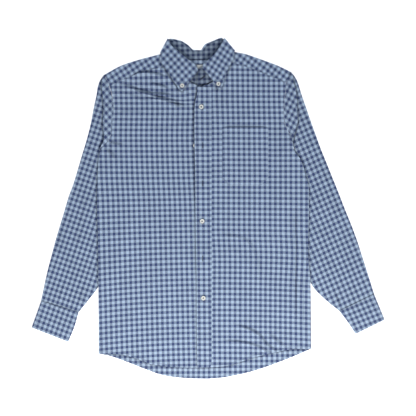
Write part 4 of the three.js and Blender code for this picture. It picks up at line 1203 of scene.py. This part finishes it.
def make_sleeve(name, node, side, armhole, cap, sections, grains, creases):
    """A sleeve; side is -1 for the right one and 1 for the left, armhole is (edge, armpit y, shoulder y)."""
    rings = sleeve_rings(side, *armhole, cap, sections)
    across = len(SLEEVE_SHARES)
    steps = np.linalg.norm(np.diff(rings[:, :across], axis=0), axis=2).mean(axis=1)
    along = np.concatenate([[0], np.cumsum(steps)])
    strip_end, head_end = along[3], along[len(SLEEVE_HEAD) - 1]
    head_rows = np.linspace(0, head_end, 24)[:-1]
    dense = np.concatenate([head_rows, head_end + grid_lines(along[-1] - head_end)])
    points = smooth(along, rings, dense)
    x, y = points[..., 0], points[..., 1]
    # Creases on the upper wall, calm near the armhole, the folds and the hidden stretch
    wall = np.zeros(points.shape[1])
    wall[:across] = fade(SLEEVE_SHARES, 0.0, 0.08) * (1 - fade(SLEEVE_SHARES, 0.93, 1.0))
    shown = fade(dense, head_end, head_end + 12)[:, None]
    under_body = (x > right_edge_x(y)) & (x < left_edge_x(y))
    relief = crease_height(x, y, creases) + swell(x, y, 51 if side < 0 else 61, 0.4) + 0.3
    points[..., 2] += wall[None, :] * shown * np.where(under_body, np.minimum(relief, 0), relief)
    sleeve_grain, strip_grain = grains
    u, v = sleeve_grain(x, y)
    fold = across + 2
    upper = np.arange(points.shape[1]) <= fold
    u = np.where(upper[None, :], u, 2 * u[:, fold][:, None] - u)
    strip_u, strip_v = strip_grain(x, y)
    on_strip = (dense < strip_end)[:, None]
    cloth = stack_pair(np.where(on_strip, strip_u, u), np.where(on_strip, strip_v, v))
    piece = piece_object(name, points, cloth, ring=True, material=painted_shade_flannel, sides_out=side > 0)
    declare(piece, node)
    sew(points[:, :across], "low", ARMHOLE_INSET, start=0.04, end=0.97)


def cuff_path(inset, low, high):
    """A cuff's section as (share of its width, height), from its under end round to its over end,
    with the first and last index of the upper wall."""
    half, middle = (high - low) / 2, (high + low) / 2
    turn = np.linspace(-math.pi / 2, math.pi / 2, 7)[1:-1]
    path = [(share, low + LAP_HEIGHT) for share in np.linspace(LAP_UNDER_END, LAP_UNDER_TOP, 10)]
    for share in np.linspace(LAP_UNDER_TOP, LAP_UNDER_FOOT, 6)[1:]:
        path.append((share, low + LAP_HEIGHT * (1 - float(fade(share, LAP_UNDER_TOP, LAP_UNDER_FOOT)))))
    path += [(share, low) for share in np.linspace(LAP_UNDER_FOOT, 1 - inset, 7)[1:]]
    path += [(1 - inset + inset * math.cos(a), middle + half * math.sin(a)) for a in turn]
    upper_from = len(path)
    path += [(share, high) for share in np.linspace(1 - inset, inset, 26)]
    upper_to = len(path)
    path += [(inset - inset * math.cos(a), middle - half * math.sin(a)) for a in turn]
    path += [(share, low) for share in np.linspace(inset, LAP_OVER_END, 16)]
    return path, upper_from, upper_to


def make_cuff(name, node, sections, grain_of, sides_out):
    """A cuff closed round the sleeve's end, its ends lapped on the lower side."""
    up = grid_lines(CUFF_TALL) / CUFF_TALL
    ends = smooth([0, 0.48, 1], np.array(sections, float), up)
    low, high = CUFF_CLOTH / 2, CUFF_TOP - CUFF_CLOTH / 2
    rows = []
    for inner_x, inner_y, outer_x, outer_y in ends:
        inner, outer = np.array([inner_x, inner_y]), np.array([outer_x, outer_y])
        inset = (high - low) / 2 / np.linalg.norm(outer - inner)
        path, upper_from, upper_to = cuff_path(inset, low, high)
        rows.append([[*(inner + (outer - inner) * share), z] for share, z in path])
    points = np.array(rows)
    x, y = points[..., 0], points[..., 1]
    wall = np.zeros(points.shape[1])
    wall[upper_from:upper_to] = np.sin(np.linspace(0, math.pi, upper_to - upper_from)) ** 0.5
    distance = (up * CUFF_TALL)[:, None]
    rim = np.minimum(distance, CUFF_TALL - distance)
    relief = 0.35 * ripple(x, y, 40, 71) - 0.3 * stitch_dent(rim, 6, 0.9) + 0.3
    points[..., 2] += wall[None, :] * relief
    u, v = grain_of(x, y)
    index = np.arange(points.shape[1])[None, :]
    u = np.where(index < upper_from, 2 * u[:, upper_from][:, None] - u, u)
    u = np.where(index >= upper_to, 2 * u[:, upper_to - 1][:, None] - u, u)
    piece = piece_object(
        name, points, stack_pair(u, v), material=painted_shade_flannel, thickness=CUFF_CLOTH, sides_out=sides_out,
    )
    declare(piece, node)
    top_wall = points[:, upper_from:upper_to]
    sew(top_wall, "low", CUFF_SEAM_INSET, lift=CUFF_CLOTH / 2)
    sew(top_wall, "top", HEM_INSET, lift=CUFF_CLOTH / 2)
    sew(top_wall, "start", HEM_INSET, lift=CUFF_CLOTH / 2, start=0.05, end=0.95)


# Collar

def strip(rows, width, thickness, profile):
    """A collar piece from its stations, each a line across from its first point to its second."""
    share = grid_lines(width, COLLAR_ACROSS) / width
    keys = []
    for place, ax, ay, bx, by, level in rows:
        z = np.full(share.shape, level + thickness / 2) + profile(share, place, bx)
        keys.append(stack(blend(ax, bx, share), blend(ay, by, share), z))
    keys = np.array(keys)
    middle = keys[:, len(share) // 2]
    steps = np.linalg.norm(np.diff(middle, axis=0), axis=1)
    along = np.concatenate([[0], np.cumsum(np.maximum(steps, 2.0))])
    dense = grid_lines(along[-1], COLLAR_ALONG)
    return smooth(along, keys, dense), along, dense


def make_stand():
    """The neckband, with its tab at the left front's end."""
    def profile(share, place, top_x):
        from_centre = float(fade(np.abs(top_x + 22), 14, 50))
        stands_up = {"front": (COLLAR_ROLL - 1.2) * from_centre, "turn": 2.0, "back": 0}[place]
        return 0.25 * np.sin(share * math.pi) + stands_up * share**1.4

    points, along, dense = strip(STAND, STAND_WIDTH, COLLAR_CLOTH, profile)
    x, y = points[..., 0], points[..., 1]
    relief = np.maximum(crease_height(x, y, NECK_CREASES), -0.3)
    is_back = points[..., 2] < 2.4
    points[..., 2] += np.where(is_back, relief, 0)
    # The neckband's cloth is the copy darkened as painted shade
    piece = piece_object(
        "neckband", points, cloth_at(STAND_GRAIN, x, y), material=neckband_painted_shade_flannel, thickness=COLLAR_CLOTH,
    )
    declare(piece, "collar_stand")
    tab = points[dense > along[-3]]
    sew(tab, "start", TAB_INSET, lift=COLLAR_CLOTH / 2)
    sew(tab, "top", TAB_END_INSET, lift=COLLAR_CLOTH / 2)


def make_collar():
    """The collar's fall, folded over the neckband, with a point at each end."""
    def profile(share, place, edge_x):
        ridge = np.exp(-share * FALL_WIDTH / 1.6)
        if place != "front":
            return 0.6 * ridge + (2.4 * (1 - share) if place == "turn" else 0)
        roll = COLLAR_ROLL * (1 - share) ** 1.2 - 1.8 * ridge
        puff = 0.9 * np.clip(np.sin(share * math.pi), 0, 1) ** 0.8
        return roll + puff + 1.5 * share

    points, along, dense = strip(FALL, FALL_WIDTH, COLLAR_CLOTH, profile)
    x, y, z = points[..., 0], points[..., 1], points[..., 2]
    points[..., 2] += 0.35 * ripple(x, y, 46, 81) * fade(z, 4.2, 4.8)
    is_left = x > NECK_MIDDLE_X
    cloth = np.where(is_left[..., None], cloth_at(LEFT_LEAF_GRAIN, x, y), cloth_at(RIGHT_LEAF_GRAIN, x, y))
    piece = piece_object("collar_fall", points, cloth, material=painted_shade_flannel, thickness=COLLAR_CLOTH)
    declare(piece, "collar")
    turns = [along[k] for k, row in enumerate(FALL) if row[0] == "turn"]
    right, left = points[dense <= turns[0]], points[dense >= turns[1]]
    for leaf, point_side in ((right, "low"), (left, "top")):
        sew(leaf, "end", HEM_INSET, lift=COLLAR_CLOTH / 2)
        sew(leaf, point_side, HEM_INSET, lift=COLLAR_CLOTH / 2)
    return points


def make_label():
    left, right, low, high = LABEL_EDGES
    x, y = np.meshgrid(np.linspace(left, right, 12), np.linspace(low, high, 8))
    z = back_level(x, y) + 1.5 * CLOTH + 0.9
    cloth = stack_pair((x - left) / REPEAT, (y - low) / REPEAT)
    piece = piece_object("neck_label", stack(x, y, z), cloth, material=label_material(), thickness=0.5)
    declare(piece, "label")


# Sewing and buttons

def tube_faces(first, rings, sides, closed=True):
    """Faces of a tube through rings of vertices, the first of which has the given number."""
    faces = []
    for r in range(rings - 1):
        for k in range(sides):
            a, b = first + r * sides + k, first + r * sides + (k + 1) % sides
            faces.append((a, b, b + sides, a + sides))
    if closed:
        faces.append(tuple(first + k for k in range(sides))[::-1])
        faces.append(tuple(first + (rings - 1) * sides + k for k in range(sides)))
    return faces


def merged(shapes):
    """The vertices and faces of several shapes as those of one."""
    vertices, faces = [], []
    for shape_vertices, shape_faces in shapes:
        first = len(vertices)
        vertices += shape_vertices
        faces += [tuple(i + first for i in face) for face in shape_faces]
    return vertices, faces


def trim_object(name, shape, material):
    """A sewn-on piece that rides with the shirt."""
    piece = mesh_object(name, *shape, material)
    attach(piece, "root")
    return piece


def stitch(place, ahead, radius):
    """One short rounded stitch at a place, along a direction."""
    sides = 6
    rings = ((-0.5, 0.35), (-0.3, 1.0), (0.3, 1.0), (0.5, 0.35))
    across = np.cross((0, 0, 1), ahead)
    across /= np.linalg.norm(across)
    lift = np.cross(ahead, across)
    vertices = []
    for at, wide in rings:
        for k in range(sides):
            a = 2 * math.pi * k / sides
            offset = (across * math.cos(a) + lift * math.sin(a) * 0.8) * radius * wide
            vertices.append(place + ahead * at * STITCH_LENGTH + offset)
    return vertices, tube_faces(0, len(rings), sides)


def stitch_rows(name, rows, radius, material):
    """Rows of topstitching, in one mesh."""
    stitches = []
    for line in rows:
        points = resample(line, STITCH_PITCH)
        ahead = np.gradient(points, axis=0)
        ahead /= np.linalg.norm(ahead, axis=1)[:, None]
        stitches += [stitch(p, d, radius) for p, d in zip(points, ahead)]
    trim_object(name, merged(stitches), material)


def lathe(profile, sides):
    """Vertices and faces of a turned shape whose profile starts and ends on the axis."""
    vertices = [(0, 0, profile[0][1])]
    for radius, height in profile[1:-1]:
        for k in range(sides):
            a = 2 * math.pi * k / sides
            vertices.append((radius * math.cos(a), radius * math.sin(a), height))
    vertices.append((0, 0, profile[-1][1]))
    faces = [(0, 1 + (k + 1) % sides, 1 + k) for k in range(sides)]
    faces += tube_faces(1, len(profile) - 2, sides, closed=False)
    last = len(vertices) - 1
    top = 1 + (len(profile) - 3) * sides
    faces += [(top + k, top + (k + 1) % sides, last) for k in range(sides)]
    return vertices, faces


def mesh_object(name, vertices, faces, material):
    """A smooth object from vertices in millimetres and faces."""
    mesh = bpy.data.meshes.new(name)
    mesh.from_pydata([tuple(c * MM for c in v) for v in vertices], [], faces)
    mesh.polygons.foreach_set("use_smooth", [True] * len(mesh.polygons))
    mesh.materials.append(material)
    piece = bpy.data.objects.new(name, mesh)
    bpy.context.scene.collection.objects.link(piece)
    return piece


def pierce(piece, radius, spacing):
    """Four sewing holes through a button."""
    cutters = []
    for sx in (-1, 1):
        for sy in (-1, 1):
            profile = [(0, -1), (radius, -1), (radius, 4), (0, 4)]
            vertices, faces = lathe(profile, 12)
            moved = [(v[0] + sx * spacing, v[1] + sy * spacing, v[2]) for v in vertices]
            cutters.append(mesh_object("hole", moved, faces, piece.data.materials[0]))
    for cutter in cutters:
        cut = piece.modifiers.new("hole", "BOOLEAN")
        cut.operation = "DIFFERENCE"
        cut.object = cutter
        cut.solver = "EXACT"
    apply_modifiers(piece)
    for cutter in cutters:
        bpy.data.objects.remove(cutter)


def rounded_bar(start, end, radius, arch=0.3):
    """A short arched thread from one place to another."""
    sides, steps = 8, 7
    start, end = np.array(start, float), np.array(end, float)
    axis = (end - start) / np.linalg.norm(end - start)
    up = np.array([0, 0, 1.0])
    across = np.cross(up, axis)
    vertices = []
    for t in np.linspace(0, 1, steps):
        middle = start + (end - start) * t + up * arch * math.sin(math.pi * t)
        for s in range(sides):
            a = 2 * math.pi * s / sides
            vertices.append(tuple(middle + radius * (across * math.cos(a) + up * math.sin(a))))
    return vertices, tube_faces(0, steps, sides)


# A button's section from its underside round the rim to the dished middle, in shares of its radius
# and of its thickness
BUTTON_SECTION = (
    (0.5, 0.024), (0.80, 0), (0.93, 0.16), (0.995, 0.42), (1, 0.58), (0.975, 0.80), (0.91, 0.95),
    (0.83, 1), (0.74, 0.96), (0.66, 0.82), (0.58, 0.68), (0.48, 0.62), (0.25, 0.60), (0, 0.60),
)


def button_threads(hole, top):
    """Two runs of thread side by side and one crossed over them, between the four holes."""
    bars = []
    for sy in (-1, 1):
        for shift in (-0.22, 0.0, 0.22):
            y = sy * hole + shift
            bars.append(rounded_bar((-hole, y, top), (hole, y, top), 0.24, arch=0.45))
    for shift in (-0.2, 0.2):
        start, end = (-hole, -hole + shift, top + 0.3), (hole, hole + shift, top + 0.3)
        bars.append(rounded_bar(start, end, 0.24, arch=0.4))
    return merged(bars)


def make_button(node, x, y, level, radius, turn, tilt=(0.0, 0.0)):
    """A cream resin button with a rolled rim, a dished middle and four holes sewn with navy thread."""
    profile = [(0, 0.15)] + [(r * radius, h * BUTTON_THICKNESS) for r, h in BUTTON_SECTION]
    resin_piece = trim_object(node + "_resin", lathe(profile, 48), resin)
    hole = 0.20 * radius
    pierce(resin_piece, 0.15 * radius, hole)
    sharpen(resin_piece.data, 40)
    shape = button_threads(hole, 0.66 * BUTTON_THICKNESS)
    thread = trim_object(node + "_thread", shape, thread_navy)
    place = (
        Matrix.Translation(Vector((x, y, level)) * MM)
        @ Matrix.Rotation(tilt[0], 4, "X") @ Matrix.Rotation(tilt[1], 4, "Y")
        @ Matrix.Rotation(math.radians(turn), 4, "Z")
    )
    for part in (resin_piece, thread):
        part.data.transform(place)
    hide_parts(node)


def top_of(points, x, y):
    """The height just above a cloth's upper layer at a place."""
    flat = points.reshape(-1, 3)
    near = flat[np.hypot(flat[:, 0] - x, flat[:, 1] - y) < COLLAR_BUTTON_RADIUS]
    return float(near[:, 2].max() + COLLAR_CLOTH / 2 + 0.1)


def buttonhole(x, y, level, turn):
    """Two rows of thread with a bar at each end, as four bars."""
    c, d = math.cos(math.radians(turn)), math.sin(math.radians(turn))
    along, across = np.array([c, d, 0.0]), np.array([-d, c, 0.0])
    centre = np.array([x, y, level])
    half, gap = BUTTONHOLE_LENGTH / 2, BUTTONHOLE_GAP
    ends = [((-half, side * gap), (half, side * gap)) for side in (-1, 1)]
    ends += [((end * half, -gap * 1.5), (end * half, gap * 1.5)) for end in (-1, 1)]
    bars = []
    for start, end in ends:
        start, end = (centre + along * a + across * b for a, b in (start, end))
        bars.append(rounded_bar(start, end, 0.5, arch=0.1))
    return merged(bars)


def placket_level_at(x, y):
    return float(placket_level(np.array(float(x)), np.array(float(y))))


def make_buttonholes():
    """The placket's worked buttonholes and the one of the neckband's tab."""
    holes = []
    for _, x, y, _ in FRONT_BUTTONS:
        x = max(x, TAB_BUTTONHOLE[0])
        holes.append(buttonhole(x, y, placket_level_at(x, y) + 0.55, 90))
    x, y, turn = TAB_BUTTONHOLE
    holes.append(buttonhole(x, y, TAB_TOP, turn))
    trim_object("buttonholes", merged(holes), thread_navy)


def make_buttons(collar):
    for index, (node, x, y, done) in enumerate(FRONT_BUTTONS):
        level = placket_level_at(x, y) + 0.9 if done else FRONT_LEVEL + CLOTH + 0.3
        make_button(node, x, y, level, BUTTON_RADIUS, 12 + 31 * index, (0.02, -0.015))
    make_button("button_stand", *BUTTON_STAND_PLACE, 3.1, BUTTON_RADIUS, 20)
    for node, (x, y), turn, tilt in (
        ("button_collar_right", COLLAR_BUTTON_RIGHT, 40, (0.02, 0.03)),
        ("button_collar_left", COLLAR_BUTTON_LEFT, 65, (0.02, -0.03)),
    ):
        make_button(node, x, y, top_of(collar, x, y), COLLAR_BUTTON_RADIUS, turn, tilt)


# Stage

def make_floor():
    floor = bpy.data.objects.new("floor", bpy.data.meshes.new("floor"))
    corners = [(-1, -1), (1, -1), (1, 1), (-1, 1)]
    vertices = [(x * FLOOR_HALF, y * FLOOR_HALF, -FLOOR_DROP) for x, y in corners]
    floor.data.from_pydata(vertices, [], [(0, 1, 2, 3)])
    floor.data.materials.append(floor_material())
    bpy.context.scene.collection.objects.link(floor)


def make_lights():
    world = bpy.data.worlds.new("studio")
    bpy.context.scene.world = world
    world.use_nodes = True
    background = world.node_tree.nodes["Background"]
    background.inputs["Color"].default_value = SKY_COLOUR
    background.inputs["Strength"].default_value = SKY_STRENGTH
    for name, place, size, watts, colour in LAMPS:
        light = bpy.data.lights.new(name, "AREA")
        light.shape = "DISK"
        light.size = size
        light.energy = watts
        light.color = colour
        lamp = bpy.data.objects.new(name, light)
        lamp.location = place
        lamp.rotation_euler = (-Vector(place)).to_track_quat("-Z", "Y").to_euler()
        bpy.context.scene.collection.objects.link(lamp)


def make_camera():
    """Straight above, so that the picture is as wide as the photograph is at its scale."""
    lens = bpy.data.cameras.new("camera")
    lens.sensor_width = SENSOR
    lens.lens = SENSOR * CAMERA_HEIGHT / (PICTURE_PIXELS * PIXEL)
    camera = bpy.data.objects.new("camera", lens)
    camera.location = (0, 0, CAMERA_HEIGHT)
    bpy.context.scene.collection.objects.link(camera)
    bpy.context.scene.camera = camera
    bpy.context.scene.view_settings.view_transform = "Standard"


make_floor()
make_lights()
make_camera()
make_back()
make_right_front()
make_left_front()
make_placket()
make_pocket()
make_yoke()
make_sleeve(
    "sleeve_right_tube", "sleeve_right", -1, (right_edge_x, RIGHT_ARMPIT_Y, RIGHT_SHOULDER_Y), RIGHT_CAP,
    RIGHT_SLEEVE, (RIGHT_SLEEVE_GRAIN, RIGHT_CAP_GRAIN), RIGHT_SLEEVE_CREASES,
)
make_sleeve(
    "sleeve_left_tube", "sleeve_left", 1, (left_edge_x, LEFT_ARMPIT_Y, LEFT_SHOULDER_Y), LEFT_CAP,
    LEFT_SLEEVE, (LEFT_SLEEVE_GRAIN, LEFT_CAP_GRAIN), LEFT_SLEEVE_CREASES,
)
make_cuff("cuff_right_band", "cuff_right", RIGHT_CUFF, RIGHT_CUFF_GRAIN, False)
make_cuff("cuff_left_band", "cuff_left", LEFT_CUFF, LEFT_CUFF_GRAIN, True)
make_stand()
collar_points = make_collar()
make_label()
make_buttons(collar_points)
make_buttonholes()
coarse_rows = [line for line, fine in SEWING if not fine]
fine_rows = [line for line, fine in SEWING if fine]
stitch_rows("topstitching", coarse_rows, STITCH_RADIUS, thread_blue)
stitch_rows("fine_topstitching", fine_rows, FINE_STITCH_RADIUS, thread_pale)
